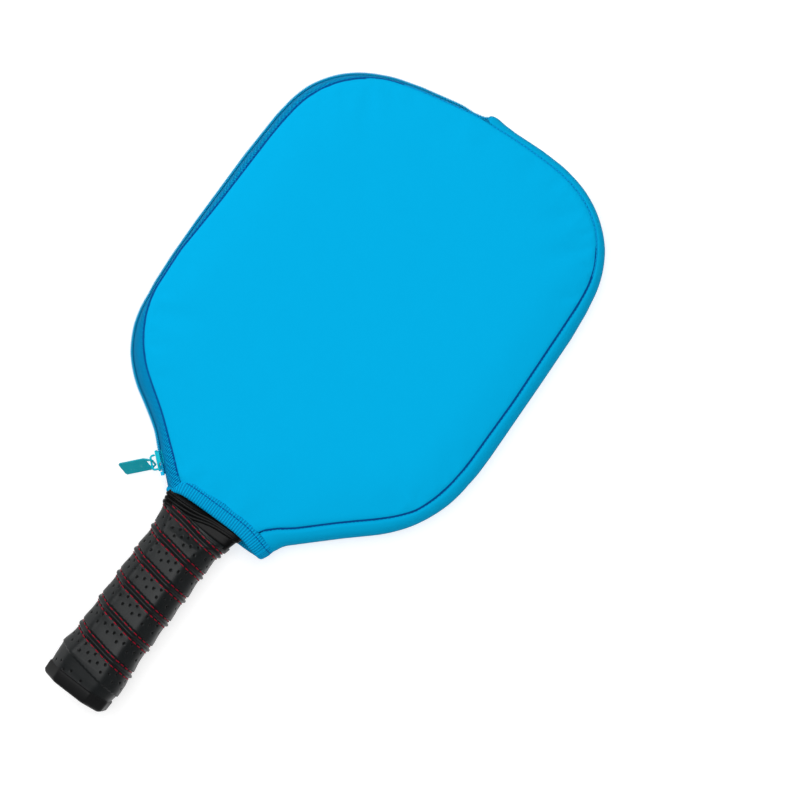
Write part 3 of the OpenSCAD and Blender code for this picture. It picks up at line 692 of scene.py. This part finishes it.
def buildGusset(finish):
    s = np.r_[np.arange(0.0, gussetEnd - 2, rimSizes["step"]), gussetEnd + np.arange(-2, 3.6, 0.7)]
    steps = gussetSizes["steps"]
    rings = []
    angles = np.linspace(math.pi / 2, -math.pi / 2, steps + 1)
    for at in s:
        past = at - gussetEnd - gussetSizes["roundFrom"]
        rounding = float(np.clip(past / gussetSizes["roundRun"], 0, 1))
        held = gussetEnd - gussetSizes["holdBefore"]  # the outline keeps its bump up to the rounded end
        edge = wander(min(at, held)) + gussetSizes["roundDepth"] * (1 - math.sqrt(1 - rounding ** 2))
        seam = knots(at, seamInset) - gussetSizes["overlap"]
        rise = smooth((gussetEnd + gussetSizes["pastEnd"] - at) / 3.0)
        closing = rise * (1 - gussetSizes["endHeight"]) + gussetSizes["endHeight"]
        ring = []
        for thick in (0.0, gussetSizes["wall"]):
            width, high = (seam - edge - thick), (gussetSizes["seamZ"] - midZ - thick * 0.9) * closing
            arc = [(seam - max(width, 0.6) * abs(math.cos(a)) ** gussetSizes["full"],
                    midZ + high * np.sign(math.sin(a)) * abs(math.sin(a)) ** gussetSizes["full"])
                   for a in angles]
            ring += arc if thick == 0 else arc[::-1]
        place, out = rimAt(at)
        rings.append([(*(place - out * d), z) for d, z in ring])
    return sweep("gussetBand", rings, finish, along=s)


# zip
zipSizes = {"toothPitch": 0.95, "toothSize": (0.86, 2.1, 1.35), "tape": 0.6, "steps": 7,
            "toothHeight": 0.8, "coilInset": 0.95, "rootSize": (0.55, 0.7, 0.5), "rootInset": 2.0,
            "rootHeight": 1.5, "part": 1.1, "partRun": 3.5, "pastSlider": 8, "teethFrom": 3.2,
            "bedFrom": 2.6}
flankCentre = np.array(joints["slider_travel"]["pos_m"])[:2] / mm
crownPlace = np.array(joints["pull_swing"]["pos_m"]) / mm
away = np.array(joints["pull_swing"]["axis"])  # along the zip, away from the neck
outOf = np.array([-away[1], away[0], 0.0]) * -1
if outOf[:2] @ (flankCentre - crownPlace[:2]) < 0:
    outOf = -outOf
sliderPlace = crownPlace + 0.6 * away - 4.7 * outOf


def sliderDistance():
    places, _ = rimAt(np.arange(zipStart, rimEnd, 0.25))
    near = np.argmin(np.linalg.norm(places - sliderPlace[:2], axis=1))
    return zipStart + near * 0.25


sliderAt = sliderDistance()


def zipEdge(s):
    # the coil's outer line: it leaves the gusset's end a little lower than the band
    return wander(s) * smooth((sliderAt - s) / 20) + 1.1 * (1 - smooth((s - zipStart) / 22))


def parting(s):
    return zipSizes["part"] * smooth((s - sliderAt) / zipSizes["partRun"])


def buildTape(name, side, finish):
    s = np.r_[np.arange(gussetEnd - 3, rimEnd - 1, rimSizes["step"]), rimEnd - 1]
    rings = []
    for at in s:
        edge, seam = zipEdge(at) + 1.9, max(knots(at, seamInset) + 0.25, zipEdge(at) + 2.6)
        low, high = 1.15 + parting(at), gussetSizes["seamZ"] - midZ + 0.1
        outer = []
        for k in range(zipSizes["steps"] + 1):
            t = k / zipSizes["steps"]
            lift = low + (high - low) * (1 - (1 - t) ** 2.6)
            outer.append((edge + (seam - edge) * t ** 1.25, lift))
        inner = [(d + zipSizes["tape"], z - 0.25) for d, z in outer[::-1]]
        place, out = rimAt(at)
        rings.append([(*(place - out * d), midZ + side * z) for d, z in outer + inner])
    return sweep(name, rings, finish, along=s)


def coilLine(side, inset, height):
    line = []
    for at in np.arange(gussetEnd + zipSizes["teethFrom"], sliderAt + zipSizes["pastSlider"], 0.8):
        place, out = rimAt(at)
        line.append((*(place - out * (zipEdge(at) + inset)), midZ + side * (height + parting(at))))
    return [line], [[(0, 0, side)] * len(line)]


def buildTeeth(name, side, finish):
    lines, facing = coilLine(side, zipSizes["coilInset"], zipSizes["toothHeight"])
    return repeatAlong(name, lines, facing, zipSizes["toothPitch"], zipSizes["toothSize"], finish)


# a dark strip under the teeth that shows through the gaps between them: painted shade
def buildCoilBed(name, side, finish):
    s = np.arange(gussetEnd + zipSizes["bedFrom"], sliderAt + zipSizes["pastSlider"], 1.2)
    rings = []
    for at in s:
        place, out = rimAt(at)
        low = 0.25 + parting(at)
        rings.append([(*(place - out * (zipEdge(at) + d)), midZ + side * (low + z))
                      for d, z in ((0.5, 0), (0.5, 0.5), (2.5, 0.75), (2.5, 0))])
    return sweep(name, rings, finish)


def buildToothRoots(name, side, finish):
    lines, facing = coilLine(side, zipSizes["rootInset"], zipSizes["rootHeight"])
    return repeatAlong(name, lines, facing, zipSizes["toothPitch"], zipSizes["rootSize"], finish)


# roots and bed in the dark cord colour: the coil's own cord, darkened as painted shade between the
# teeth
def buildCoilCordAndShade(name, side, finish):
    return joinPieces(name, [buildToothRoots("roots", side, finish), buildCoilBed("bed", side, finish)])


# slider and pull tab
def localToFrame(points):
    points = np.asarray(points, float)
    up = np.array([0, 0, 1.0])
    return sliderPlace + points[:, :1] * away + points[:, 1:2] * outOf + points[:, 2:] * up


def prism(name, outline, depth, toSpace, finish, bevel, hole=None):
    # a plate from an outline in two directions, with its thickness along the third
    work = bmesh.new()
    loops = [outline] + ([hole] if hole else [])
    rings = []
    for loop in loops:
        rings.append([work.verts.new((a, b, depth[0])) for a, b in loop])
    for ring in rings:
        for i, v in enumerate(ring):
            work.edges.new((v, ring[(i + 1) % len(ring)]))
    bmesh.ops.triangle_fill(work, edges=work.edges[:], use_beauty=True)
    bmesh.ops.dissolve_limit(work, angle_limit=0.01, verts=work.verts, edges=work.edges)
    made = bmesh.ops.extrude_face_region(work, geom=work.faces[:])
    for v in [g for g in made["geom"] if isinstance(g, bmesh.types.BMVert)]:
        v.co.z = depth[1]
    mesh = bpy.data.meshes.new(name)
    work.to_mesh(mesh)
    work.free()
    points = np.array([tuple(v.co) for v in mesh.vertices])
    mesh.vertices.foreach_set("co", (toSpace(points) * mm).ravel())
    mesh.materials.append(finish)
    piece = bpy.data.objects.new(name, mesh)
    scene.collection.objects.link(piece)
    turnOutwards(piece)
    return roundEdges(piece, bevel, 3)


def wire(name, path, radius, finish, sides=12):
    path = np.asarray(path, float)
    along = np.gradient(path, axis=0)
    along /= np.linalg.norm(along, axis=1, keepdims=True)
    side = np.cross(along, (0, 0, 1.0))
    side /= np.linalg.norm(side, axis=1, keepdims=True)
    other = np.cross(side, along)
    angles = np.arange(sides) * turn / sides
    shrink = np.ones(len(path))
    shrink[0] = shrink[-1] = 0.55
    rings = [p + radius * k * (np.outer(np.cos(angles), a) + np.outer(np.sin(angles), b))
             for p, a, b, k in zip(path, side, other, shrink)]
    return sweep(name, rings, finish)


sliderSizes = {"length": 12.0, "halfHeight": 3.6, "plate": 1.2, "crownWire": 0.6, "crownReach": 4.7,
               "crownBar": 2.6, "crownBend": 1.4, "barAt": -0.6, "gap": 0.3, "innerPlate": (-3.3, -2.1),
               "post": (-2.3, 0.5), "rail": (-0.9, 0.5)}


def buildSlider(finish):
    nose, high = sliderSizes["length"] / 2, sliderSizes["halfHeight"]
    outline = [(-nose, -1.8), (-nose, 1.8), (-2, high), (nose - 1, high), (nose, 2.9), (nose, -2.9),
               (nose - 1, -high), (-2, -high)]
    flat = lambda p: localToFrame(p[:, [0, 2, 1]])
    post = [(-5.4, -0.85), (-3, -0.85), (-3, 0.85), (-5.4, 0.85)]
    outer = (sliderSizes["gap"], sliderSizes["gap"] + sliderSizes["plate"])
    pieces = [prism("outerPlate", outline, outer, flat, finish, 0.35),
              prism("innerPlate", outline, sliderSizes["innerPlate"], flat, finish, 0.3),
              prism("post", post, sliderSizes["post"], flat, finish, 0.1)]
    for sign in (1, -1):
        rail = [(-1.2, sign * 2.4), (5.2, sign * 2.4), (5.2, sign * 3.55), (-1.2, sign * 3.55)]
        pieces.append(prism("rail", rail, sliderSizes["rail"], flat, finish, 0.2))
    bar, bend, reach = sliderSizes["crownBar"], sliderSizes["crownBend"], sliderSizes["crownReach"]
    at = sliderSizes["barAt"]
    path = [(at - bar - bend, 1.3, 0), (at - bar - bend, 2.2, 0), (at - bar - bend, reach - bend, 0)]
    path += [(at - bar - bend * math.cos(t), reach - bend + bend * math.sin(t), 0)
             for t in np.linspace(0, math.pi / 2, 7)[1:]]
    path += [(at, reach, 0)]
    path += [(at + bar + bend * math.sin(t), reach - bend + bend * math.cos(t), 0)
             for t in np.linspace(0, math.pi / 2, 7)]
    path += [(at + bar + bend, 2.5, 0), (at + bar + bend, 2.0, 0)]
    pieces.append(wire("crown", localToFrame(path), sliderSizes["crownWire"], finish))
    return joinPieces("zipSlider", pieces)


pullSizes = {"droop": 37.0, "roll": -38.0, "width": 8.6, "length": 20.0, "thickness": 1.0}


def buildPull(finish):
    droop, roll = math.radians(-pullSizes["droop"]), math.radians(pullSizes["roll"])
    half, far = pullSizes["width"] / 2, 2.7 + pullSizes["length"]
    outline = [(-1.9, -2.3), (1.9, -2.3), (2.7, -0.6), (3.6, 1.2), (half, 2.9), (half, far - 0.7),
               (half - 0.7, far), (0.7 - half, far), (-half, far - 0.7), (-half, 2.9), (-3.6, 1.2),
               (-2.7, -0.6)]
    hole = [(-1.35, -1.4), (1.35, -1.4), (1.9, -0.6), (2.2, 2.1), (1.6, 2.5), (-1.6, 2.5), (-2.2, 2.1),
            (-1.9, -0.6)]

    def toSpace(p):
        x, y, z = p[:, 0], p[:, 1], p[:, 2]
        x, z = x * math.cos(roll) + z * math.sin(roll), z * math.cos(roll) - x * math.sin(roll)
        y, z = y * math.cos(droop) - z * math.sin(droop), y * math.sin(droop) + z * math.cos(droop)
        return crownPlace + np.outer(x, away) + np.outer(y, outOf) + np.outer(z, (0, 0, 1.0))
    thick = pullSizes["thickness"] / 2
    return prism("pullTab", outline, (-thick, thick), toSpace, finish, 0.22, hole)


# binding round the neck
bindingSizes = {"ribPitch": 1.5, "ribHeight": 0.19, "width": 9.4, "thickness": 2.9, "stitchAt": 6.8}
lipFront = [(-28.9, -143.3, 14), (-27.9, -142.6, 17.6), (-25.2, -141, 21.4), (-20, -139.3, 24.2),
            (-11, -138.7, 25.6), (3, -138.5, 26.1), (15, -138.6, 25.7), (21.8, -139.3, 25),
            (28.5, -141, 23.4), (33.2, -142.4, 20.8)]
lipBack = [(33.2, -142.4, 20.8), (35.6, -143, 17.2), (36.4, -143.2, 13), (35.6, -143.5, 8.8),
           (32.5, -143.8, 4.8), (27, -144, 2), (15, -144, 0.6), (-5, -144, 0.5), (-17, -144, 1.4),
           (-24, -144, 4.4), (-27.6, -143.9, 8.6), (-28.7, -143.7, 11.6)]
lipTurn = [(-40, 0.12), (-26, 0.05), (-5, 0.0), (20, 0.04), (30, 0.28), (34, 0.42), (40, 0.42)]


def curveThrough(points, step):
    # a smooth line through the points, evenly spaced
    p = np.asarray(points, float)
    p = np.vstack([2 * p[0] - p[1], p, 2 * p[-1] - p[-2]])
    line = []
    for i in range(1, len(p) - 2):
        for t in np.linspace(0, 1, 12, endpoint=False):
            line.append(0.5 * (2 * p[i] + (p[i + 1] - p[i - 1]) * t
                               + (2 * p[i - 1] - 5 * p[i] + 4 * p[i + 1] - p[i + 2]) * t * t
                               + (3 * p[i] - p[i - 1] - 3 * p[i + 1] + p[i + 2]) * t ** 3))
    line = np.array(line + [p[-2]])
    length = np.r_[0, np.cumsum(np.linalg.norm(np.diff(line, axis=0), axis=1))]
    at = np.linspace(0, length[-1], max(2, round(length[-1] / step)))
    return np.stack([np.interp(at, length, line[:, k]) for k in range(3)], 1), at


def lipFrames(points):
    line, at = curveThrough(points, bindingSizes["ribPitch"] / 4)
    along = np.gradient(line, axis=0)
    along /= np.linalg.norm(along, axis=1, keepdims=True)
    lean = knots(line[:, 0], lipTurn)
    up = np.stack([lean, np.sqrt(1 - lean ** 2), np.zeros(len(line))], 1)
    up -= (up * along).sum(1)[:, None] * along
    up /= np.linalg.norm(up, axis=1, keepdims=True)
    return line, at, up, np.cross(along, up)


def buildBinding(name, points, finish):
    line, at, up, out = lipFrames(points)
    wide, thick, stitch = bindingSizes["width"], bindingSizes["thickness"], bindingSizes["stitchAt"]
    section = [(wide, -0.9), (wide - 0.3, -0.35), (wide - 1.6, -0.1), (stitch + 0.5, 0.1),
               (stitch, -0.15),
               (stitch - 0.6, 0.35), (wide * 0.4, 0.5), (1.6, 0.45), (0.5, 0.1),
               (-0.15, -0.6), (-0.35, -thick / 2), (-0.15, 0.6 - thick), (0.5, -thick),
               (1.8, -thick - 0.3),
               (wide - 3.4, -thick - 0.3), (wide - 2.9, -thick)]
    ribbed = [0, 1, 1, 1, 0.5, 1, 1, 1, 1, 1, 1, 1, 1, 1, 1, 0]
    rings = []
    for p, a, u, o in zip(line, at, up, out):
        rib = bindingSizes["ribHeight"] * math.sin(a * turn / bindingSizes["ribPitch"])
        rings.append([p + u * w + o * (t + (rib if t > -1 else -rib) * k)
                      for (w, t), k in zip(section, ribbed)])
    return sweep(name, rings, finish, along=at)


def bindingStitches(name, points, rows, trim, finish):
    line, at, up, out = lipFrames(points)
    use = (at >= trim[0]) & (at <= at[-1] - trim[1])
    lines = [(line + up * w + out * 0.05)[use] for w in rows]
    return repeatAlong(name, lines, [out[use]] * len(lines), 2.4, (2.3, 0.65, 0.5), finish)


# stitches along the panel seams
seamSizes = {"pitch": 2.2, "size": (2.35, 0.75, 0.7)}


def seamStitches(name, first, last, insets, height, side, finish):
    s = np.arange(first, last, 2.0)
    places = insetAt(s, knots(s, insets) - 0.05)
    line = np.column_stack([places, np.full(len(s), midZ + side * height)])
    return repeatAlong(name, [line], [np.tile((0, 0, side), (len(s), 1))], seamSizes["pitch"],
                       seamSizes["size"], finish)


# handle
gripSizes = {"roll": 8.0, "sharp": 16.0, "capSharp": 70.0, "around": 300, "rows": 250,
             "rib": 1.15, "ribWidth": 1.5, "stitchAt": 2.1, "stitchPitch": 3.9,
             "stitch": (3.0, 0.62, 0.55), "edge": 3.1, "step": 0.75,
             "holeEvery": 8.4, "holeRows": (-3.9, -6.3, -8.7), "holeSize": 0.78, "holeDepth": 0.8,
             "endSlant": 2.8}
gripBody = [  # y, half width, half height and roll of the wrapped handle
    (buttY + 7.0, 19.6, 15.6, 1.0), (buttY + 12, 20.6, 16.2, 1.0), (buttY + 20, 21.1, 16.9, 1.0),
    (buttY + 27, 19.9, 16.0, 1.0), (buttY + 34, 19.3, 15.4, 1.0), (buttY + 70, 19.3, 15.4, 1.0),
    (buttY + 100, 19.3, 15.4, 1.0), (buttY + 106, 19.8, 14.6, 0.7), (buttY + 111, 21.0, 13.0, 0.35),
    (buttY + 116, 22.7, 11.6, 0.0)]
ribCrossings = [(-269, -268.1), (-252.0, -251.5), (-235.0, -234.9), (-216.8, -216.8), (-199.5, -199.5),
                (-183.3, -183.3), (-166.9, -166.9), (-151.9, -151.9), (-137.0, -137.0)]


def octagon(angle, w, h, roll, sharp):
    cut = np.minimum(w, h) * 0.58
    diagonal = (w + h - cut) / math.sqrt(2)
    total = 0
    for k in range(8):
        reach = (w, diagonal, h, diagonal)[k % 4]
        facing = np.maximum(np.cos(angle - roll - k * turn / 8), 1e-6)
        total = total + (facing / reach) ** sharp
    return total ** (-1 / sharp)


def handleRadius(angle, y, sharp):
    table = np.array(gripBody)
    w, h, share = (np.interp(y, table[:, 0], table[:, k]) for k in (1, 2, 3))
    return octagon(angle, w, h, math.radians(gripSizes["roll"]) * share, sharp)


def ribHeightAt(angle, crossing):
    # where the rib of one turn lies at an angle, counted from the top of the handle, a quarter turn up
    ys = np.array([c[1] for c in ribCrossings])
    place = crossing + (angle - turn / 4) / turn
    return np.interp(place, np.arange(len(ys)), ys)


def buildGrip(finish):
    count, rows = gripSizes["around"], gripSizes["rows"]
    ys = np.linspace(gripBody[0][0], gripBody[-1][0], rows)
    angles = np.arange(count) * turn / count
    angle, y = np.meshgrid(angles, ys)
    y = y + gripSizes["endSlant"] * smooth((y - gripBody[-1][0] + 8) / 8) * (1 - np.cos(angle)) / 2
    radius = handleRadius(angle, y, gripSizes["sharp"])
    above, low = np.full(y.shape, 1e9), np.full(y.shape, 1e9)
    for k in range(len(ribCrossings)):
        offset = y - ribHeightAt(angle, k)
        low = np.where(np.abs(offset) < np.abs(low), offset, low)
        above = np.where((offset >= gripSizes["edge"]) & (offset < above), offset, above)
    hasRib = smooth((y - (buttY + 20)) / 4)
    radius = radius + hasRib * gripSizes["rib"] * np.exp(-(low / (gripSizes["ribWidth"] * 0.62)) ** 4)
    radius = radius - hasRib * 0.25 * np.exp(-((np.abs(low) - gripSizes["stitchAt"]) / 0.6) ** 2)
    saw = gripSizes["step"] * (1 - smooth((above - gripSizes["edge"]) / 9.5))
    radius = radius + np.where(above < 100, saw, 0)
    hole = np.zeros(y.shape)
    perimeter = 112.0
    for k in range(len(ribCrossings)):
        for r, offset in enumerate(gripSizes["holeRows"]):
            for j in range(int(perimeter / gripSizes["holeEvery"])):
                a = (j + 0.5 * (r % 2) + 0.31 * k) * turn * gripSizes["holeEvery"] / perimeter % turn
                centre = ribHeightAt(a, k) + offset
                if not ys[0] + 1.5 < centre < ys[-1] - 4:
                    continue
                i, m = np.searchsorted(ys, centre), round(a / turn * count)
                for row in range(max(0, i - 10), min(rows, i + 11)):
                    for col in range(m - 4, m + 5):
                        c = col % count
                        across = (col * turn / count - a) * radius[row, c]
                        far = math.hypot(across, y[row, c] - centre)
                        depth = float(smooth((gripSizes["holeSize"] - far) / 0.45))
                        hole[row, c] = max(hole[row, c], depth)
    radius = radius - gripSizes["holeDepth"] * hole
    rings = np.stack([paddleX + radius * np.cos(angle), y, midZ + radius * np.sin(angle)], -1)
    grip = sweep("gripWrap", rings, finish)
    store = grip.data.attributes.new("hole", "FLOAT", "POINT")
    store.data.foreach_set("value", hole.ravel().astype(np.float32))
    return grip


def gripStitches(finish):
    lines, facing = [], []
    for side in (-1, 1):
        a = np.arange(0, (len(ribCrossings) - 3.2) * turn, 0.05)
        place = 2 + (a - turn / 4) / turn
        ys = np.array([c[1] for c in ribCrossings])
        y = np.interp(place, np.arange(len(ys)), ys) + side * gripSizes["stitchAt"]
        r = handleRadius(a, y, gripSizes["sharp"]) + 0.08
        wrapEnd = gripBody[-1][0] + gripSizes["endSlant"] * (1 - np.cos(a)) / 2
        keep = (y > buttY + 24) & (y < wrapEnd - 0.4)
        line = np.stack([paddleX + r * np.cos(a), y, midZ + r * np.sin(a)], 1)[keep]
        out = np.stack([np.cos(a), np.zeros(len(a)), np.sin(a)], 1)[keep]
        lines.append(line)
        facing.append(out)
    return repeatAlong("gripStitches", lines, facing, gripSizes["stitchPitch"], gripSizes["stitch"],
                       finish)


collarSizes = {  # each ring: y, slant and radius; the sleeve: y, half width and half height
    "rings": [(-145.2, 6.4, 1.25), (-143.4, 5.0, 1.15), (-141.8, 3.4, 1.1)],
    "sleeve": [(-150.2, 22.0, 9.9), (-147, 22.7, 9.4), (-143, 23.9, 9.0), (-138.5, 25.0, 8.8)],
    "square": 6}


def buildCollar(finish):
    table, power = np.array(collarSizes["sleeve"]), collarSizes["square"]
    t = np.arange(128) * turn / 128

    def onSleeve(y):
        w, h = np.interp(y, table[:, 0], table[:, 1]), np.interp(y, table[:, 0], table[:, 2])
        r = (np.abs(np.cos(t) / w) ** power + np.abs(np.sin(t) / h) ** power) ** (-1 / power)
        level = np.broadcast_to(y, t.shape)
        return np.column_stack([paddleX + r * np.cos(t), level, midZ + r * np.sin(t)])
    pieces = [sweep("collarSleeve", [onSleeve(y) for y in table[:, 0]], finish)]
    out = np.column_stack([np.cos(t) * 9, np.zeros(len(t)), np.sin(t) * 23])
    out /= np.linalg.norm(out, axis=1, keepdims=True)
    angles = np.arange(14) * turn / 14
    for y, slant, r in collarSizes["rings"]:
        tube = [c + r * (np.outer(np.cos(angles), o) * 0.8 + np.outer(np.sin(angles), (0, 1.0, 0)))
                for c, o in zip(onSleeve(y + slant / 2 * np.cos(t)), out)]
        pieces.append(sweep("collarRing", tube, finish, closed=True, along=np.arange(len(tube)) * 1.0))
    return joinPieces("throatCollar", pieces)


def buildCap(finish):
    t = np.arange(160) * turn / 160
    rings = []
    for y, w, h in [(0, 17.2, 13.4), (0.25, 18.3, 14.5), (0.8, 19.2, 15.4), (2.0, 20.1, 16.1),
                    (6.6, 20.3, 16.3),
                    (7.6, 20.3, 16.3), (8.1, 19.9, 15.9), (8.2, 18.6, 14.6)]:
        r = octagon(t, w, h, math.radians(gripSizes["roll"]), gripSizes["capSharp"])
        place = [paddleX + r * np.cos(t), np.full(len(t), buttY + y), midZ + r * np.sin(t)]
        rings.append(np.column_stack(place))
    return sweep("buttCap", rings, finish)


# paddle edge
def buildGuard(finish):
    half = (guardHigh[0] - guardLow[0]) / 2
    throat, shoulder = (27.4, neckY + 11), (half, neckY + 74)
    corner, crest = (half, neckY + 248.6), (0, neckY + 273.7)
    corners = [(*throat, 0), (*shoulder, 70), (*corner, 58), (*crest, 220), (-corner[0], corner[1], 58),
               (-shoulder[0], shoulder[1], 70), (-throat[0], throat[1], 0)]
    path, _ = roundedPath(corners, 2.5)
    ahead = np.gradient(path, axis=0)
    out = np.stack([ahead[:, 1], -ahead[:, 0]], 1) / np.linalg.norm(ahead, axis=1, keepdims=True)
    high = (guardHigh[2] - guardLow[2]) / 2
    angles = np.radians([-90, -70, -48, -24, 0, 24, 48, 70, 90])
    outer = [(8, -high)] + [(2.6 - 2.6 * math.cos(a), high * math.sin(a)) for a in angles] + [(8, high)]
    section = outer + [(8.2, high - 0.75), (2, high - 0.75), (2, 0.75 - high), (8.2, 0.75 - high)]
    rings = [[(paddleX + p[0] - o[0] * d, p[1] - o[1] * d, midZ + z) for d, z in section]
             for p, o in zip(path, out)]
    return sweep("edgeGuard", rings, finish)


# assembly
print("finishes")
neoprene, lining = neopreneFinish(), liningFinish()
tapeCloth, nylon = tapeFinish(), nylonFinish()
seamThread = threadFinish("seamThread", palette["seamBlue"], rgb(0.0, 0.05, 0.26))
redThread = threadFinish("gripThread", palette["stitchRed"], rgb(0.16, 0.002, 0.012))
seamShade = threadFinish("seamShade", rgb(0.0, 0.12, 0.40), rgb(0.0, 0.09, 0.34))
paleThread = threadFinish("paleThread", rgb(0.0, 0.36, 0.76), rgb(0.0, 0.28, 0.62))
# the dark cord colour is painted shade in the gaps of the zip coil, over the coil's own cord
coilGapShade = threadFinish("coilCordAndGapShade", rgb(0.0, 0.07, 0.24), rgb(0.0, 0.03, 0.12))
bindingCloth = bindingFinish()
cyanEnamel = enamelFinish("sliderEnamel", palette["sliderCyan"], rgb(0.35, 0.62, 0.66), 0.24)
tealEnamel = enamelFinish("pullEnamel", palette["pullTeal"], rgb(0.10, 0.42, 0.50), 0.28)
leather = gripFinish()
collarRubber = rubberFinish("collarRubber", 0.3, 0.0025)
capRubber = rubberFinish("capRubber", 0.34, 0.006)
guardPlastic = rubberFinish("guardPlastic", 0.42, 0.008)


def onFold(piece, slot, *nodes):
    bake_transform(piece)
    if nodes:
        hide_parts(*nodes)
    return piece


def onBody(piece, body, slot, *nodes):
    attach(piece, body)
    if nodes:
        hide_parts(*nodes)
    return piece


print("cover panels")
frontPanel = buildPanel("frontPanel", seamInset, neckTop, False, [neoprene, lining, seamShade])
onFold(frontPanel, "neoprene", "front_flap", "front_pocket")
backNeck = [(x, y - 5) for x, y in neckTop]
backInset = [(s, max(d, 4.5)) for s, d in seamInset]
backPanel = buildPanel("backPanel", backInset, backNeck, True, [neoprene, lining, seamShade])
onBody(backPanel, "case", "neoprene", "back_panel")

print("gusset, seams and binding")
onBody(buildGusset(gussetFinish()), "case", "gusset_cloth", "side_gusset")
onFold(buildBinding("frontBinding", lipFront, bindingCloth), "neck_binding", "neck_binding_front")
onBody(buildBinding("backBinding", lipBack, bindingCloth), "case", "neck_binding", "neck_binding_back")
stitchRow = (bindingSizes["stitchAt"],)
onFold(bindingStitches("frontBindingStitches", lipFront, stitchRow, (4, 1), seamThread), "neck_binding")
onBody(bindingStitches("backBindingStitches", lipBack, stitchRow, (1, 3), seamThread), "case",
       "neck_binding")
seamZ = gussetSizes["seamZ"] - midZ
topSeam, topZipSeam = 266, 436  # where the thread turns paler, along the outline
seams = [  # name, first and last place, insets, side, thread, and whether it stays loose with the front pieces instead of going on the case body
    ("sewnSeamFront", 10, topSeam, seamInset, 1, seamThread, False),
    ("topSeamFront", topSeam, gussetEnd - 1, seamInset, 1, paleThread, False),
    ("sewnSeamBack", 8, gussetEnd - 1, backInset, -1, seamThread, False),
    ("zipSeamFront", topZipSeam, rimEnd - 8, seamInset, 1, seamThread, True),
    ("topZipSeamFront", zipStart + 4, topZipSeam, seamInset, 1, paleThread, True),
    ("zipSeamBack", zipStart + 4, rimEnd - 3, backInset, -1, seamThread, False)]
for name, first, last, insets, side, thread, folds in seams:
    row = seamStitches(name, first, last, insets, seamZ, side, thread)
    if folds:
        onFold(row, "neoprene")
    else:
        onBody(row, "case", "neoprene")

print("zip")
onFold(buildTape("frontZipTape", 1, tapeCloth), "zip_tape", "front_zip_tape", "front_tape_lower")
onBody(buildTape("backZipTape", -1, tapeCloth), "case", "zip_tape", "back_zip_tape", "back_tape_lower")
onFold(buildTeeth("frontZipTeeth", 1, nylon), "zip_coil", "front_zip_coil", "front_coil_lower")
onBody(buildTeeth("backZipTeeth", -1, nylon), "case", "zip_coil", "back_zip_coil", "back_coil_lower")
onFold(buildCoilCordAndShade("frontCoilCordAndShade", 1, coilGapShade), "zip_coil")
onBody(buildCoilCordAndShade("backCoilCordAndShade", -1, coilGapShade), "case", "zip_coil")
onBody(buildSlider(cyanEnamel), "slider", "slider_paint", "zip_slider")
onBody(buildPull(tealEnamel), "pull", "pull_paint", "pull_tab")

print("paddle")
onBody(buildGrip(leather), "paddle", "grip_leather", "grip_wrap", "grip_rib")
onBody(gripStitches(redThread), "paddle", "grip_leather")
onBody(buildCollar(collarRubber), "paddle", "collar_rubber", "throat_collar")
onBody(buildCap(capRubber), "paddle", "cap_rubber", "butt_cap")
onBody(buildGuard(guardPlastic), "paddle", "guard_plastic", "edge_guard")

cadFinishes = {
    "paddle_core": plainFinish("coreHoneycomb", rgb(0.72, 0.72, 0.68), rgb(0.5, 0.5, 0.46), 0.5, 500.0),
    "handle_pallet_front": plainFinish("palletFoam", rgb(0.50, 0.37, 0.22), rgb(0.36, 0.25, 0.14),
                                       0.8, 700.0),
    "zip_end_stop": enamelFinish("stopEnamel", palette["coilBlue"], rgb(0.3, 0.5, 0.6), 0.3),
    "face_sheet_front": fibreFinish()}
cadFinishes["handle_pallet_back"] = cadFinishes["handle_pallet_front"]
cadFinishes["front_top_stop"] = cadFinishes["back_top_stop"] = cadFinishes["zip_end_stop"]
cadFinishes["face_sheet_back"] = cadFinishes["face_sheet_front"]
for name, finish in cadFinishes.items():
    frame["nodes"][name].data.materials.clear()
    frame["nodes"][name].data.materials.append(finish)

# floor, light and camera
print("stage")
stageSizes = {"floor": 60.0, "tilt": 1.0, "cameraHeight": 1.5, "viewWidth": 0.448, "turn": 36.5,
              "aim": (0.0464, -0.0248), "floorDrop": -0.0002, "glow": 0.6}


def buildFloor():
    bpy.ops.mesh.primitive_plane_add(size=stageSizes["floor"])
    floor = bpy.context.object
    floor.name = "floor"
    shade = Shade("paleFloor", Roughness=0.9, Specular_IOR_Level=0.1)
    pale, dim = rgb(0.55, 0.55, 0.55), rgb(0.52, 0.52, 0.52)
    shade.put("Base Color", shade.mix(shade.noise(3.0) * 0.05, pale, dim))
    shade.put("Emission Color", rgb(1.0, 1.0, 1.0))
    shade.put("Emission Strength", stageSizes["glow"])
    floor.data.materials.append(shade.material)
    tilt = math.radians(stageSizes["tilt"])
    floor.rotation_euler = (tilt, 0, 0)
    floor.location = (0, 0.13, stageSizes["floorDrop"])


def softLight(name, place, aim, size, watts):
    light = bpy.data.lights.new(name, "AREA")
    light.shape, light.size, light.energy = "SQUARE", size, watts
    lamp = bpy.data.objects.new(name, light)
    lamp.location = place
    lamp.rotation_euler = (Vector(aim) - Vector(place)).to_track_quat("-Z", "Y").to_euler()
    scene.collection.objects.link(lamp)


buildFloor()
softLight("overhead", (0.0, 0.1, 2.2), (0, 0, 0), 1.6, 40)
softLight("key", (-1.5, 0.2, 1.3), (0, 0, 0), 0.9, 15)
world = bpy.data.worlds.new("studio")
world.use_nodes = True
world.node_tree.nodes["Background"].inputs[0].default_value = (1, 1, 1, 1)
world.node_tree.nodes["Background"].inputs[1].default_value = 0.14
scene.world = world

lens = bpy.data.cameras.new("camera")
lens.sensor_width = 36
lens.lens = 36 * stageSizes["cameraHeight"] / stageSizes["viewWidth"]
camera = bpy.data.objects.new("camera", lens)
camera.location = (*stageSizes["aim"], stageSizes["cameraHeight"] + midZ * mm)
camera.rotation_euler = (0, 0, math.radians(stageSizes["turn"]))
scene.collection.objects.link(camera)
scene.camera = camera
